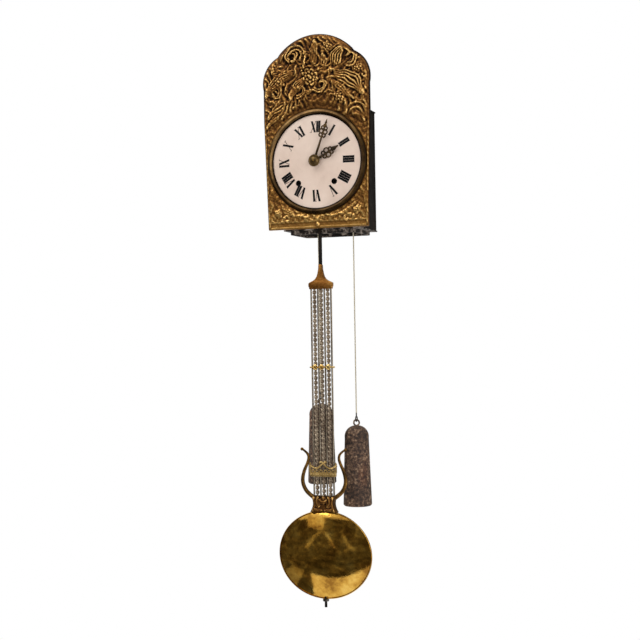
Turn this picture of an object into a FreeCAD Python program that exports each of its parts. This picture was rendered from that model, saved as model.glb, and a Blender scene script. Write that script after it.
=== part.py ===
import FreeCAD, Part
import math
import os

os.makedirs("parts", exist_ok=True)

Vec = FreeCAD.Vector

# Millimetres, X to the right, -Y to the front, Z up, the origin in the wall hanger's hole.
# Heights named "above dial" or "below dial" are measured from the dial's centre.

# Main levels and widths
hanger_above_dial = 160.0
case_top_above_dial = 137.0
case_floor_below_dial = 160.0
skirt_foot_below_dial = 172.0
case_half_width = 98.0
case_back_depth = 12.8
plate_thickness = 3.0
post_side = 8.0
post_side_inset = 7.0
back_sheet_thickness = 1.2
overrun = 2.0

# Depths from the wall, each measured from the piece behind or before it
back_bar_depth = 43.0
escape_wheel_gap = 49.0
escape_wheel_depth = back_bar_depth + escape_wheel_gap
anchor_gap = 1.5
anchor_depth = escape_wheel_depth + anchor_gap
third_wheel_gap = 12.0
third_wheel_depth = escape_wheel_depth + third_wheel_gap
fly_gap = 16.0
fly_front_depth = third_wheel_depth - fly_gap
fly_length = 28.0
fly_back_depth = fly_front_depth - fly_length
second_wheel_gap = 12.0
second_wheel_depth = third_wheel_depth + second_wheel_gap
hammer_tail_gap_behind = 4.5
hammer_tail_depth = second_wheel_depth - hammer_tail_gap_behind
transfer_wheel_gap = 8.0
transfer_wheel_depth = second_wheel_depth + transfer_wheel_gap
great_wheel_gap = 9.0
great_wheel_depth = transfer_wheel_depth + great_wheel_gap
ratchet_gap = 3.4
ratchet_front_depth = great_wheel_depth - ratchet_gap
drum_gap = 4.6
drum_front_depth = ratchet_front_depth - drum_gap
drum_length = 46.0
drum_back_depth = drum_front_depth - drum_length
slot_front_room = 2.0
slot_front_depth = drum_front_depth + slot_front_room
slot_back_room = 5.0
slot_back_depth = drum_back_depth - slot_back_room
front_bar_gap = 10.0
front_bar_depth = great_wheel_depth + front_bar_gap
cannon_wheel_gap = 4.8
cannon_wheel_depth = front_bar_depth + cannon_wheel_gap
hour_wheel_gap = 3.6
hour_wheel_depth = cannon_wheel_depth + hour_wheel_gap
case_front_room = 7.0
case_front_depth = front_bar_depth + case_front_room
door_front_room = 1.0
door_front_depth = case_front_depth - door_front_room
skirt_front_room = 5.0
skirt_front_depth = case_front_depth - skirt_front_room
crutch_gap = 10.4
crutch_front_depth = front_bar_depth + crutch_gap
pendulum_gap = 4.6
pendulum_depth = crutch_front_depth + pendulum_gap
crutch_pin_reach = 3.5
crutch_pin_end_depth = pendulum_depth + crutch_pin_reach
cock_reach = 5.0
cock_front_depth = pendulum_depth + cock_reach
dial_plate_gap = 12.8
dial_plate_front_depth = pendulum_depth + dial_plate_gap
winding_square_reach = 4.2
winding_square_end = dial_plate_front_depth + winding_square_reach
hour_hand_gap = 15.8
hour_hand_depth = dial_plate_front_depth + hour_hand_gap
minute_hand_gap = 3.8
minute_hand_depth = hour_hand_depth + minute_hand_gap

# Running and seating fits
running_clearance = 0.05
seat_clearance = 0.02
door_gap = 0.5

# Skirt under the case
skirt_half_width = 85.0
skirt_back_depth = 25.0
skirt_corner_radius = 10.0
skirt_wall = 2.5

# Slots for the two weight lines
slot_half_width = 7.0

# Side doors on pivots
door_thickness = 1.2
door_pivot_inset = 3.0
door_pivot_depth = 18.0
door_roll_radius = 2.2
door_pin_radius = 1.5
door_lip_width = 2.6

# Wall hanger and wall spurs
hanger_hole_radius = 5.0
hanger_thickness = 3.0
hanger_half_width = 16.0
hanger_foot_depth = 48.0
spur_radius = 4.0
spur_tip_radius = 1.0
spur_side_place = 70.0
spur_above_floor = 20.0
rivet_radius = 2.5
rivet_head_height = 1.5
hanger_rivet_depths = [24.0, 40.0]

# Vertical bars that carry the arbors
bar_thickness = 3.0
centre_bar_half_width = 9.0
going_bar_inner_place = 20.0
going_bar_outer_place = 54.0
strike_bar_outer_place = 66.0

# Dial plate, its pillars and the fronton
dial_plate_thickness = 1.5
dial_plate_half_width = 118.0
dial_plate_top = 150.0
dial_plate_foot = 146.0
pillar_radius = 3.5
pillar_side_place = 87.0
pillar_top_place = 125.0
pillar_foot_place = 140.0
fronton_sheet = 1.2
fronton_top = 307.0
crown_half_width = 93.0
crown_side_height = 267.0
notch_half_width = 98.0
notch_height = 260.0
shoulder_half_width = 124.0
shoulder_height = 239.0
side_half_width = 136.5
side_top_height = 181.0
side_foot_height = 104.0
fronton_foot = 161.0
fronton_foot_half_width = 128.5
fronton_hole_radius = 118.0
fronton_relief_rise = 7.0
fronton_relief_margin = 9.0
relief_hole_radius = 127.5
rim_bead_width = 3.0
rim_bead_rise = 3.5
return_edge_depth = 6.0
band_height = 16.0
flower_petals = 6
flower_radius = 15.0
flower_rise = 3.0
flower_petal_radius = 6.5
relief_sink = 0.4
flower_places = [(0.0, 250.0), (-46.0, 226.0), (46.0, 226.0), (-104.0, 196.0), (104.0, 196.0)]
scroll_half_width = 3.0
scroll_rise = 3.0
scroll_places = [(-66.0, 190.0, 22.0), (66.0, 190.0, 22.0), (-30.0, 182.0, 14.0), (30.0, 182.0, 14.0),
                 (-104.0, 150.0, 13.0), (104.0, 150.0, 13.0)]
leaf_count = 7
leaf_spread = 100.0
leaf_length = 30.0
leaf_half_width = 3.4
leaf_waist_share = 0.6
leaf_foot_height = 262.0
boss_radius = 5.0
boss_rise = 4.0
boss_below_dial = 150.0

# Enamel dial and brass bezel
enamel_radius = 117.0
enamel_rise = 9.0
enamel_thickness = 1.5
visible_dial_radius = 112.5
bezel_outer_radius = 126.5
bezel_rise = 8.0
bezel_lip = 1.6
dial_centre_hole_radius = 7.5
winding_hole_radius = 7.2
bezel_dial_gap = 0.6

# Hands, set at about three minutes past two
minute_hand_turn = 19.8
hour_hand_turn = 61.65
minute_hand_length = 103.0
hour_hand_length = 69.0
hand_thickness = 1.2
hand_shaft_half_width = 1.6
hand_tip_half_width = 0.6
hand_hub_radius = 11.0
bulb_place_share = 0.58
bulb_ring_share = 0.075
collet_radius = 13.5
collet_height = 3.2
collet_stud_height = 3.0
collet_edge = 1.0

# Motion work between the front bars and the pendulum
cannon_teeth = 12
minute_wheel_teeth = 36
minute_pinion_teeth = 10
hour_wheel_teeth = 40
motion_centre_distance = 21.6
motion_stud_turn = 135.0
motion_wheel_thickness = 1.8
centre_arbor_radius = 1.6
cannon_pipe_radius = 3.0
hour_pipe_radius = 5.0
motion_stud_radius = 1.8
bridge_thickness = 1.0

# Trains of wheels, the same module on both sides
barrel_place = 46.0
barrel_below_dial = 51.0
great_teeth = 96
great_module = 0.9
second_teeth = 64
third_teeth = 60
train_module = 0.8
pinion_teeth = 8
transfer_teeth = 36
second_place = 30.0
second_below_dial = 7.0
third_place = 26.7
strike_third_place = 33.0
escape_teeth = 30
escape_wheel_radius = 24.0
escape_above_dial = 27.0
wheel_thickness = 2.5
wheel_rim = 4.0
spoke_half_width = 2.0
hub_radius = 6.0
arbor_radius = 1.8
pivot_radius = 1.2
end_shake = 0.3
pinion_overlap = 2.0
escape_tooth_height = 5.0

# Shares of a tooth's pitch and of the module
tooth_half_share = 0.19
tooth_shoulder_share = 0.13
tooth_tip_share = 0.04
wheel_addendum_share = 0.9
pinion_addendum_share = 0.6
dedendum_share = 1.2
shoulder_height_share = 0.5
escape_tip_share = 0.06
escape_front_share = 0.32
escape_back_share = 0.82

# Drums for the weight lines, with ratchet and click
line_radius = 1.5
drum_radius = 15.0
cheek_radius = 18.8
cheek_thickness = 1.5
drum_arbor_radius = 4.5
drum_pivot_radius = 3.0
winding_square = 5.6
winding_turns = 8
winding_pitch = 3.6
winding_start_gap = 3.4
ratchet_radius = 14.0
ratchet_teeth = 18
ratchet_depth = 3.0
click_length = 15.0
click_gap = 0.5
click_half_width = 2.2
click_thickness = 2.2
click_pivot_radius = 1.5
drum_peg_length = 3.0
drum_peg_half_width = 1.2

# Anchor, crutch and pendulum suspension
pivot_above_dial = 63.0
anchor_hub_radius = 5.0
anchor_arm_width = 4.5
pallet_side_place = 19.5
pallet_gap = 2.2
anchor_thickness = 5.0
pallet_nose = 1.5
pallet_root = 1.0
crutch_hub_radius = 4.0
crutch_thickness = 2.4
crutch_half_width = 3.0
crutch_pin_above_dial = 27.0
crutch_pin_radius = 1.5
cock_width = 14.0
cock_thickness = 3.0
cock_bracket_above_pivot = 9.0
cock_jaw_gap = 1.8
cock_jaw_width = 4.0
cock_jaw_foot_above_pivot = 3.0
spring_thickness = 0.5
spring_half_depth = 4.0
spring_foot_below_pivot = 9.0

# Pendulum, its middle plane and its parts from the top down
strap_half_width = 4.2
strap_thickness = 2.4
strap_top_above_pivot = -4.0
strap_ring_radius = 12.0
strap_ring_wall = 4.0
strap_eye_half_width = 6.5
strap_slot_half_width = 1.9
strap_slot_half_height = 6.0
strap_foot_below_dial = 256.0
cap_top_below_dial = 248.0
cap_foot_below_dial = 307.0
cap_half_width = 31.0
cap_neck_half_width = 6.0
cap_waist_half_width = 13.0
cap_waist_below_dial = 276.0
cap_eave_height = 12.0
cap_half_depth = 6.0
cap_bead_rise = 1.0
cap_bead_height = 4.0
rod_count = 7
rod_pitch = 8.5
plain_rod_radius = 2.2
rods_foot_below_dial = 806.0
twisted_half_width = 3.0
twisted_half_thickness = 1.0
twist_pitch = 31.0
twist_steps_per_turn = 8
clip_below_dial = 496.0
clip_half_width = 31.5
clip_half_height = 4.0
clip_half_depth = 5.0
clip_bead_radius = 5.5
clip_bead_rise = 1.0
crossbar_top_below_dial = 724.0
crossbar_foot_below_dial = 760.0
crossbar_half_width = 36.0
crossbar_thickness = 3.0
rod_gap = 0.1
swag_radius = 10.0
swag_wall = 3.0
crossbar_rail_share = 0.2
crossbar_end_share = 0.1
lyre_tip_place = 52.0
lyre_tip_below_dial = 695.0
lyre_belly_place = 55.0
lyre_belly_below_dial = 778.0
lyre_waist_place = 37.0
lyre_waist_below_dial = 738.0
lyre_foot_place = 31.0
lyre_foot_below_dial = 812.0
lyre_arm_half_width = 3.2
lyre_arm_half_depth = 2.6
lyre_knob_radius = 5.0
lyre_taper_share = 0.35
lyre_foot_lean = 9.6
lyre_foot_rise = 6.4
lyre_belly_lean = 6.4
lyre_belly_rise = 16.0
lyre_waist_rise = 19.2
collar_top_below_dial = 806.0
collar_foot_below_dial = 856.0
collar_top_half_width = 32.0
collar_waist_half_width = 27.0
collar_foot_half_width = 35.0
collar_half_depth = 9.0
bob_centre_below_dial = 948.0
bob_half_width = 119.0
bob_half_height = 106.0
bob_front_rise = 25.0
bob_back_rise = 15.0
bob_sheet = 1.4
bob_rim_half_thickness = 1.5
bob_core_gap = 0.3
bob_rod_radius = 3.2
bob_rod_end_below_dial = 1074.0
nut_radius = 8.0
nut_height = 5.0
nut_sides = 6
nut_gap = 0.3

# Weights and their lines
weight_top_below_dial = 641.0
weight_foot_below_dial = 836.0
strike_weight_lift = 52.0
weight_foot_radius = 35.0
weight_shoulder_radius = 29.5
weight_shoulder_drop = 30.0
weight_neck_radius = 7.0
weight_foot_chamfer = 3.0
weight_eye_radius = 7.0
weight_eye_wire = 2.0
hook_ring_radius = 6.0
hook_wire = 1.6
hook_shank_length = 7.0
hook_link_gap = 0.1

# Bell and hammer on top of the case
bell_radius = 52.0
bell_height = 34.0
bell_wall = 3.0
bell_gap_above_case = 16.0
bell_depth = 84.0
bell_post_radius = 4.0
bell_nut_radius = 8.0
bell_nut_height = 6.0
bell_washer_height = 1.5
bell_seat_gap = 0.4
bell_seat_radius = 10.0
bell_waist_share = 0.82
bell_waist_height_share = 0.62
hammer_place = 58.0
hammer_above_dial = 8.0
hammer_arm_half_width = 2.0
hammer_arm_gap = 13.0
hammer_arm_depth = bell_depth + hammer_arm_gap
hammer_arm_thickness = 3.0
hammer_head_radius = 7.0
hammer_head_half_length = 9.0
hammer_bell_gap = 1.2
hammer_tail_gap = 0.6
lifting_pin_count = 8
lifting_pin_circle = 18.0
lifting_pin_radius = 1.0
lifting_pin_length = 6.0
hammer_slot_half_depth = 4.0
hammer_slot_side = 26.0
hammer_hub_radius = 5.0

# Fly that brakes the strike train
fly_turn = 105.0
fly_vane_radius = 21.0
fly_vane_thickness = 1.0
fly_hub_radius = 3.6


# Heights and places in the part's own frame
def height(above_dial):
    return above_dial - hanger_above_dial


case_top = height(case_top_above_dial)
case_floor = height(-case_floor_below_dial)
post_outer_face = case_half_width - post_side_inset
back_bar_front = -(back_bar_depth + bar_thickness / 2)
front_bar_front = -(front_bar_depth + bar_thickness / 2)
bar_top = case_top - plate_thickness
bar_foot = case_floor
line_circle = drum_radius + line_radius


# General shapes
def block(x0, x1, y0, y1, z0, z1):
    corner = Vec(min(x0, x1), min(y0, y1), min(z0, z1))
    return Part.makeBox(abs(x1 - x0), abs(y1 - y0), abs(z1 - z0), corner)


def rod_y(x, z, radius, y0, y1):
    return Part.makeCylinder(radius, abs(y1 - y0), Vec(x, min(y0, y1), z), Vec(0, 1, 0))


def rod_z(x, y, radius, z0, z1):
    return Part.makeCylinder(radius, abs(z1 - z0), Vec(x, y, min(z0, z1)), Vec(0, 0, 1))


def prism(points, y0, y1):
    low = min(y0, y1)
    corners = [Vec(x, low, z) for x, z in points]
    face = Part.Face(Part.makePolygon(corners + corners[:1]))
    return face.extrude(Vec(0, abs(y1 - y0), 0))


def turned(profile, centre, axis):
    # profile holds (radius, distance along the axis), revolved about the axis through the centre
    along = Vec(axis)
    side = Vec(1, 0, 0)
    corners = [centre + side * r + along * d for r, d in profile]
    face = Part.Face(Part.makePolygon(corners + corners[:1]))
    return face.revolve(centre, along, 360)


def fuse(shapes):
    first, rest = shapes[0], shapes[1:]
    return first.fuse(rest).removeSplitter() if rest else first


def polar(x, z, radius, turn):
    # turn in degrees from +X towards +Z
    a = math.radians(turn)
    return x + radius * math.cos(a), z + radius * math.sin(a)


def save(name, shapes):
    solids = [s for shape in shapes for s in shape.Solids]
    for s in solids:
        if not s.isValid() or s.Volume <= 0:
            print("faulty solid in", name, s.Volume)
    body = solids[0] if len(solids) == 1 else Part.makeCompound(solids)
    body.exportStep("parts/" + name + ".step")
    print(name, len(solids), "solids", round(sum(s.Volume for s in solids)), "mm3")


# Case: plates, posts, skirt, sheets, doors, hanger
def door_pivot_place(side):
    return side * (case_half_width - door_pivot_inset)


def door_pin_holes(z0, z1):
    radius = door_pin_radius + running_clearance
    places = [door_pivot_place(side) for side in (-1, 1)]
    return [rod_z(x, -door_pivot_depth, radius, z0 - overrun, z1 + overrun) for x in places]


def line_places():
    return [barrel_place + line_circle, -barrel_place + line_circle]


def line_slot(x, z0, z1):
    half = slot_half_width
    front, back = -(slot_front_depth - half), -(slot_back_depth + half)
    middle = block(x - half, x + half, front, back, z0, z1)
    return fuse([middle, rod_z(x, front, half, z0, z1), rod_z(x, back, half, z0, z1)])


def hammer_line():
    # the hammer's pivot and the middle of its head, both in the front view
    bell_rim = case_top + bell_gap_above_case
    head_x = -(bell_radius + hammer_bell_gap + hammer_head_half_length)
    return (-hammer_place, height(hammer_above_dial)), (head_x, bell_rim + hammer_head_radius)


def make_plates():
    top = block(-case_half_width, case_half_width, -case_front_depth, -case_back_depth,
                case_top - plate_thickness, case_top)
    (x0, z0), (x1, z1) = hammer_line()
    slot_x = x0 + (x1 - x0) * (case_top - z0) / (z1 - z0)
    arm_front = -(hammer_arm_depth + hammer_slot_half_depth)
    arm_back = -(hammer_arm_depth - hammer_arm_thickness - hammer_slot_half_depth)
    slot = block(slot_x - hammer_slot_side, slot_x + hammer_slot_half_depth, arm_front, arm_back,
                 case_top - plate_thickness - overrun, case_top + overrun)
    bell_bolt = rod_z(0, -bell_depth, bell_post_radius + seat_clearance,
                      case_top - plate_thickness - overrun, case_top + overrun)
    hanger_rivets = [rod_z(0, -d, rivet_radius + seat_clearance, case_top - plate_thickness - overrun,
                           case_top + overrun) for d in hanger_rivet_depths]
    cuts = [slot, bell_bolt] + hanger_rivets + door_pin_holes(case_top - plate_thickness, case_top)
    save("cage_top_plate", [top.cut(cuts)])

    under = case_floor - plate_thickness
    floor = block(-case_half_width, case_half_width, -case_front_depth, -case_back_depth, under, case_floor)
    slots = [line_slot(x, under - overrun, case_floor + overrun) for x in line_places()]
    save("cage_bottom_plate", [floor.cut(slots + door_pin_holes(under, case_floor))])


def make_skirt():
    foot = height(-skirt_foot_below_dial)
    top = case_floor - plate_thickness

    def ring_block(margin):
        outer = block(-skirt_half_width + margin, skirt_half_width - margin,
                      -skirt_front_depth + margin, -skirt_back_depth - margin, foot, top)
        upright = [e for e in outer.Edges if e.tangentAt(e.FirstParameter).z ** 2 > 0.5]
        return outer.makeFillet(skirt_corner_radius - margin, upright)

    save("case_foot_skirt", [ring_block(0).cut(ring_block(skirt_wall))])


def make_posts():
    posts = []
    for side in (-1, 1):
        for front in (-case_front_depth, -(case_back_depth + back_sheet_thickness + post_side)):
            posts.append(block(side * (post_outer_face - post_side), side * post_outer_face,
                               front, front + post_side, case_floor, case_top - plate_thickness))
    save("corner_posts", posts)


def make_back_sheet():
    back = -case_back_depth
    sheet = block(-post_outer_face, post_outer_face, back - back_sheet_thickness, back,
                  case_floor, case_top - plate_thickness)
    spurs = []
    for side in (-1, 1):
        centre = Vec(side * spur_side_place, back - back_sheet_thickness / 2, case_floor + spur_above_floor)
        reach = case_back_depth + back_sheet_thickness / 2
        spurs.append(Part.makeCone(spur_radius, spur_tip_radius, reach, centre, Vec(0, 1, 0)))
    save("back_sheet", [fuse([sheet] + spurs)])


def make_doors():
    low = case_floor + door_gap
    high = case_top - plate_thickness - door_gap
    front = -door_front_depth
    for side, name in ((1, "right"), (-1, "left")):
        x = door_pivot_place(side)
        sheet = block(x - door_thickness / 2, x + door_thickness / 2, front, -door_pivot_depth, low, high)
        roll = rod_z(x, -door_pivot_depth, door_roll_radius, low, high)
        pin = rod_z(x, -door_pivot_depth, door_pin_radius, case_floor - plate_thickness, case_top)
        lip = block(x, x - side * door_lip_width, front, front + door_thickness, low, high)
        save(name + "_side_door", [fuse([sheet, roll, pin, lip])])


def make_hanger():
    half = hanger_half_width
    upright = block(-half, half, -hanger_thickness, 0, case_top, 0)
    crown = rod_y(0, 0, half, -hanger_thickness, 0)
    foot = block(-half, half, -hanger_foot_depth, 0, case_top, case_top + hanger_thickness)
    hole = rod_y(0, 0, hanger_hole_radius, -hanger_thickness - overrun, overrun)
    rivets = []
    for depth in hanger_rivet_depths:
        over = case_top + hanger_thickness
        rivets.append(rod_z(0, -depth, rivet_radius, case_top - plate_thickness, over + rivet_head_height))
        rivets.append(rod_z(0, -depth, rivet_radius + rivet_head_height, over, over + rivet_head_height))
    save("wall_hanger", [fuse([upright, crown, foot] + rivets).cut(hole)])


# Places of the arbors, in the front view
def train_places(side):
    # barrel, second wheel and third wheel of the going train (side 1) or the strike train (side -1)
    reach = train_module * (second_teeth + pinion_teeth) / 2
    third_x = third_place if side > 0 else strike_third_place
    up = math.sqrt(reach ** 2 - (second_place - third_x) ** 2)
    barrel = (side * barrel_place, height(-barrel_below_dial))
    second = (side * second_place, height(-second_below_dial))
    third = (side * third_x, height(up - second_below_dial))
    return barrel, second, third


centre_place = (0.0, height(0))
escape_place = (0.0, height(escape_above_dial))
anchor_place = (0.0, height(pivot_above_dial))
motion_place = polar(*centre_place, motion_centre_distance, motion_stud_turn)
third_pinion_reach = train_module * (third_teeth + pinion_teeth) / 2
fly_place = polar(*train_places(-1)[2], third_pinion_reach, fly_turn)
hammer_pivot = (-hammer_place, height(hammer_above_dial))


# Vertical bars with the arbors' holes
def arbor_holes(places, radius, y0, y1):
    return [rod_y(*place, radius, y0 - overrun, y1 + overrun) for place in places]


def drum_front_pivot_radius():
    return winding_square / math.sqrt(2)


def make_bars():
    small = pivot_radius + running_clearance
    for name, middle in (("front_bars", -front_bar_depth), ("back_bars", -back_bar_depth)):
        y0, y1 = middle - bar_thickness / 2, middle + bar_thickness / 2
        in_front = name == "front_bars"
        drum_hole = (drum_front_pivot_radius() if in_front else drum_pivot_radius) + running_clearance
        centre_hole = centre_arbor_radius + running_clearance if in_front else small
        anchor_hole = arbor_radius + running_clearance if in_front else small
        barrel, second, third = train_places(1)
        going = arbor_holes([barrel], drum_hole, y0, y1) + arbor_holes([second, third], small, y0, y1)
        barrel, second, third = train_places(-1)
        strike = arbor_holes([barrel], drum_hole, y0, y1)
        strike += arbor_holes([second, third, fly_place, hammer_pivot], small, y0, y1)
        centre = arbor_holes([centre_place], centre_hole, y0, y1)
        centre += arbor_holes([escape_place], small, y0, y1)
        centre += arbor_holes([anchor_place], anchor_hole, y0, y1)
        centre_bar = block(-centre_bar_half_width, centre_bar_half_width, y0, y1, bar_foot, bar_top)
        going_bar = block(going_bar_inner_place, going_bar_outer_place, y0, y1, bar_foot, bar_top)
        strike_bar = block(-strike_bar_outer_place, -going_bar_inner_place, y0, y1, bar_foot, bar_top)
        bars = [centre_bar.cut(centre), going_bar.cut(going), strike_bar.cut(strike)]
        if in_front:
            # the minute wheel's stud stands on a bridge riveted to two of the bars
            x, z = motion_place
            half = centre_bar_half_width / 2
            bridge = block(-going_bar_inner_place - half, 0, y0 - bridge_thickness, y0, z - half, z + half)
            stud = rod_y(x, z, motion_stud_radius, y0, -(hour_wheel_depth + end_shake))
            bars = [fuse([bars[0], bars[2], bridge, stud]), bars[1]]
        save(name, bars)


def tooth_outline(x, z, teeth, module, phase, addendum_share):
    # straight-sided teeth, one tooth's middle at the phase, in degrees
    radius = teeth * module / 2
    pitch = 2 * math.pi / teeth
    root = radius - dedendum_share * module
    shoulder = radius + shoulder_height_share * addendum_share * module
    tip = radius + addendum_share * module
    start = math.radians(phase)
    points = []
    for n in range(teeth):
        a = start + n * pitch
        for share, r in ((-tooth_half_share, root), (-tooth_half_share, radius),
                         (-tooth_shoulder_share, shoulder), (-tooth_tip_share, tip),
                         (tooth_tip_share, tip), (tooth_shoulder_share, shoulder),
                         (tooth_half_share, radius), (tooth_half_share, root)):
            b = a + share * pitch
            points.append((x + r * math.cos(b), z + r * math.sin(b)))
    return points


def toothed(place, teeth, module, phase, depth, thickness, addendum_share):
    outline = tooth_outline(*place, teeth, module, phase, addendum_share)
    return prism(outline, -depth, -(depth - thickness))


def spoke_windows(place, outer, inner, depth, thickness):
    x, z = place
    y0, y1 = -depth - overrun, -(depth - thickness) + overrun
    ring = rod_y(x, z, outer, y0, y1).cut(rod_y(x, z, inner, y0, y1))
    cross = [block(x - outer, x + outer, y0, y1, z - spoke_half_width, z + spoke_half_width),
             block(x - spoke_half_width, x + spoke_half_width, y0, y1, z - outer, z + outer)]
    return ring.cut(cross)


def spoked_wheel(place, teeth, module, phase, depth, hub=hub_radius):
    wheel = toothed(place, teeth, module, phase, depth, wheel_thickness, wheel_addendum_share)
    outer = teeth * module / 2 - dedendum_share * module - wheel_rim
    if outer > hub + wheel_rim:
        wheel = wheel.cut(spoke_windows(place, outer, hub, depth, wheel_thickness))
    return wheel


def plain_arbor(place):
    # an arbor between the bars, with thinner pivots in their holes
    front = -(front_bar_depth - bar_thickness / 2 - end_shake)
    back = -(back_bar_depth + bar_thickness / 2 + end_shake)
    body = rod_y(*place, arbor_radius, front, back)
    pivot = rod_y(*place, pivot_radius, front_bar_front, back_bar_front + bar_thickness)
    return fuse([body, pivot])


def pinion_on(place, teeth, module, phase, wheel_depth):
    thickness = wheel_thickness + 2 * pinion_overlap
    depth = wheel_depth + pinion_overlap
    return toothed(place, teeth, module, phase, depth, thickness, pinion_addendum_share)


def turn_between(a, b):
    return math.degrees(math.atan2(b[1] - a[1], b[0] - a[0]))


def mesh_phases(a, b, teeth_b):
    # a tooth of a and a gap of b lie on the line between the two centres
    line = turn_between(a, b)
    return line, line + 180 + 180 / teeth_b


def great_wheel(barrel, phase):
    # the great wheel turns freely on the drum's arbor and carries the click's pin
    hub = hub_radius + wheel_rim
    wheel = spoked_wheel(barrel, great_teeth, great_module, phase, great_wheel_depth, hub)
    back = -(great_wheel_depth - wheel_thickness)
    bore_radius = drum_arbor_radius + running_clearance
    bore = rod_y(*barrel, bore_radius, -great_wheel_depth - overrun, back + overrun)
    return fuse([wheel, click_pin(barrel)]).cut(bore)


def make_going_train():
    barrel, second, third = train_places(1)
    great_phase, second_pinion_phase = mesh_phases(barrel, second, pinion_teeth)
    second_phase, third_pinion_phase = mesh_phases(second, third, pinion_teeth)
    third_phase, escape_pinion_phase = mesh_phases(third, escape_place, pinion_teeth)
    transfer_phase, centre_phase = mesh_phases(second, centre_place, transfer_teeth)
    transfer_module = math.dist(second, centre_place) / transfer_teeth
    save("going_great_wheel", [great_wheel(barrel, great_phase)])

    wheel = spoked_wheel(second, second_teeth, train_module, second_phase, second_wheel_depth)
    transfer = spoked_wheel(second, transfer_teeth, transfer_module, transfer_phase, transfer_wheel_depth)
    pinion = pinion_on(second, pinion_teeth, great_module, second_pinion_phase, great_wheel_depth)
    save("going_second_wheel", [fuse([plain_arbor(second), pinion, transfer, wheel])])

    wheel = spoked_wheel(third, third_teeth, train_module, third_phase, third_wheel_depth)
    pinion = pinion_on(third, pinion_teeth, train_module, third_pinion_phase, second_wheel_depth)
    save("going_third_wheel", [fuse([plain_arbor(third), pinion, wheel])])

    wheel = spoked_wheel(centre_place, transfer_teeth, transfer_module, centre_phase, transfer_wheel_depth)
    front = -(front_bar_depth - bar_thickness / 2 - end_shake)
    nose_end = -(minute_hand_depth + collet_height + collet_stud_height)
    pieces = [rod_y(*centre_place, arbor_radius, front, back_bar_front - end_shake),
              rod_y(*centre_place, pivot_radius, front, back_bar_front + bar_thickness),
              rod_y(*centre_place, centre_arbor_radius, nose_end, front)]
    save("centre_wheel", [fuse(pieces + [wheel])])

    pinion = pinion_on(escape_place, pinion_teeth, train_module, escape_pinion_phase, third_wheel_depth)
    save("escape_wheel", [fuse([plain_arbor(escape_place), pinion, escape_disc()])])


def escape_disc():
    # pointed teeth that lean forward
    pitch = 360 / escape_teeth
    root = escape_wheel_radius - escape_tooth_height
    points = []
    for n in range(escape_teeth):
        for share, radius in ((0, escape_wheel_radius), (escape_tip_share, escape_wheel_radius),
                              (escape_front_share, root), (escape_back_share, root)):
            points.append(polar(*escape_place, radius, -(n + share) * pitch))
    disc = prism(points, -escape_wheel_depth, -(escape_wheel_depth - wheel_thickness))
    windows = spoke_windows(escape_place, root - wheel_rim, hub_radius, escape_wheel_depth, wheel_thickness)
    return disc.cut(windows)


def make_strike_train():
    barrel, second, third = train_places(-1)
    great_phase, second_pinion_phase = mesh_phases(barrel, second, pinion_teeth)
    second_phase, third_pinion_phase = mesh_phases(second, third, pinion_teeth)
    third_phase, fly_pinion_phase = mesh_phases(third, fly_place, pinion_teeth)
    save("strike_great_wheel", [great_wheel(barrel, great_phase)])

    # the lifting pins stand on a ring that the wheel's spokes carry
    wheel = spoked_wheel(second, second_teeth, train_module, second_phase, second_wheel_depth)
    front, back = -second_wheel_depth, -(second_wheel_depth - wheel_thickness)
    half = 2 * lifting_pin_radius
    ring = rod_y(*second, lifting_pin_circle + half, front, back)
    ring = ring.cut(rod_y(*second, lifting_pin_circle - half, front, back))
    pins = []
    for n in range(lifting_pin_count):
        place = polar(*second, lifting_pin_circle, 360 * (n + 0.5) / lifting_pin_count)
        pins.append(rod_y(*place, lifting_pin_radius, front, back + lifting_pin_length))
    pinion = pinion_on(second, pinion_teeth, great_module, second_pinion_phase, great_wheel_depth)
    save("strike_pin_wheel", [fuse([plain_arbor(second), pinion, wheel, ring] + pins)])

    wheel = spoked_wheel(third, third_teeth, train_module, third_phase, third_wheel_depth)
    pinion = pinion_on(third, pinion_teeth, train_module, third_pinion_phase, second_wheel_depth)
    save("strike_third_wheel", [fuse([plain_arbor(third), pinion, wheel])])

    x, z = fly_place
    half = fly_vane_thickness / 2
    vane = block(x - fly_vane_radius, x + fly_vane_radius,
                 -fly_front_depth, -fly_back_depth, z - half, z + half)
    hub = rod_y(x, z, fly_hub_radius, -fly_front_depth, -fly_back_depth)
    pinion = pinion_on(fly_place, pinion_teeth, train_module, fly_pinion_phase, third_wheel_depth)
    save("fly", [fuse([plain_arbor(fly_place), pinion, hub, vane])])


# Ratchet drums, clicks and the lines wound on them
def click_pin_place(barrel):
    # the click's pivot, above the ratchet and beside it, on the great wheel
    reach = ratchet_radius + click_gap + click_half_width + click_pivot_radius
    return polar(*barrel, math.hypot(reach, click_length), math.degrees(math.atan2(reach, click_length)))


def click_pin(barrel):
    x, z = click_pin_place(barrel)
    back = -(great_wheel_depth - wheel_thickness)
    front = -great_wheel_depth
    turn = turn_between(barrel, (x, z))
    near = polar(*barrel, hub_radius + wheel_rim / 2, turn)
    far = polar(*barrel, great_teeth * great_module / 2 - wheel_rim, turn)
    u, v = polar(0, 0, spoke_half_width, turn + 90)
    arm = prism([(near[0] - u, near[1] - v), (far[0] - u, far[1] - v), (far[0] + u, far[1] + v),
                 (near[0] + u, near[1] + v)], front, back)
    pad = rod_y(x, z, 2 * click_pivot_radius, front, back)
    pin = rod_y(x, z, click_pivot_radius, front, back + end_shake + click_thickness)
    return fuse([pad, arm, pin])


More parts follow.
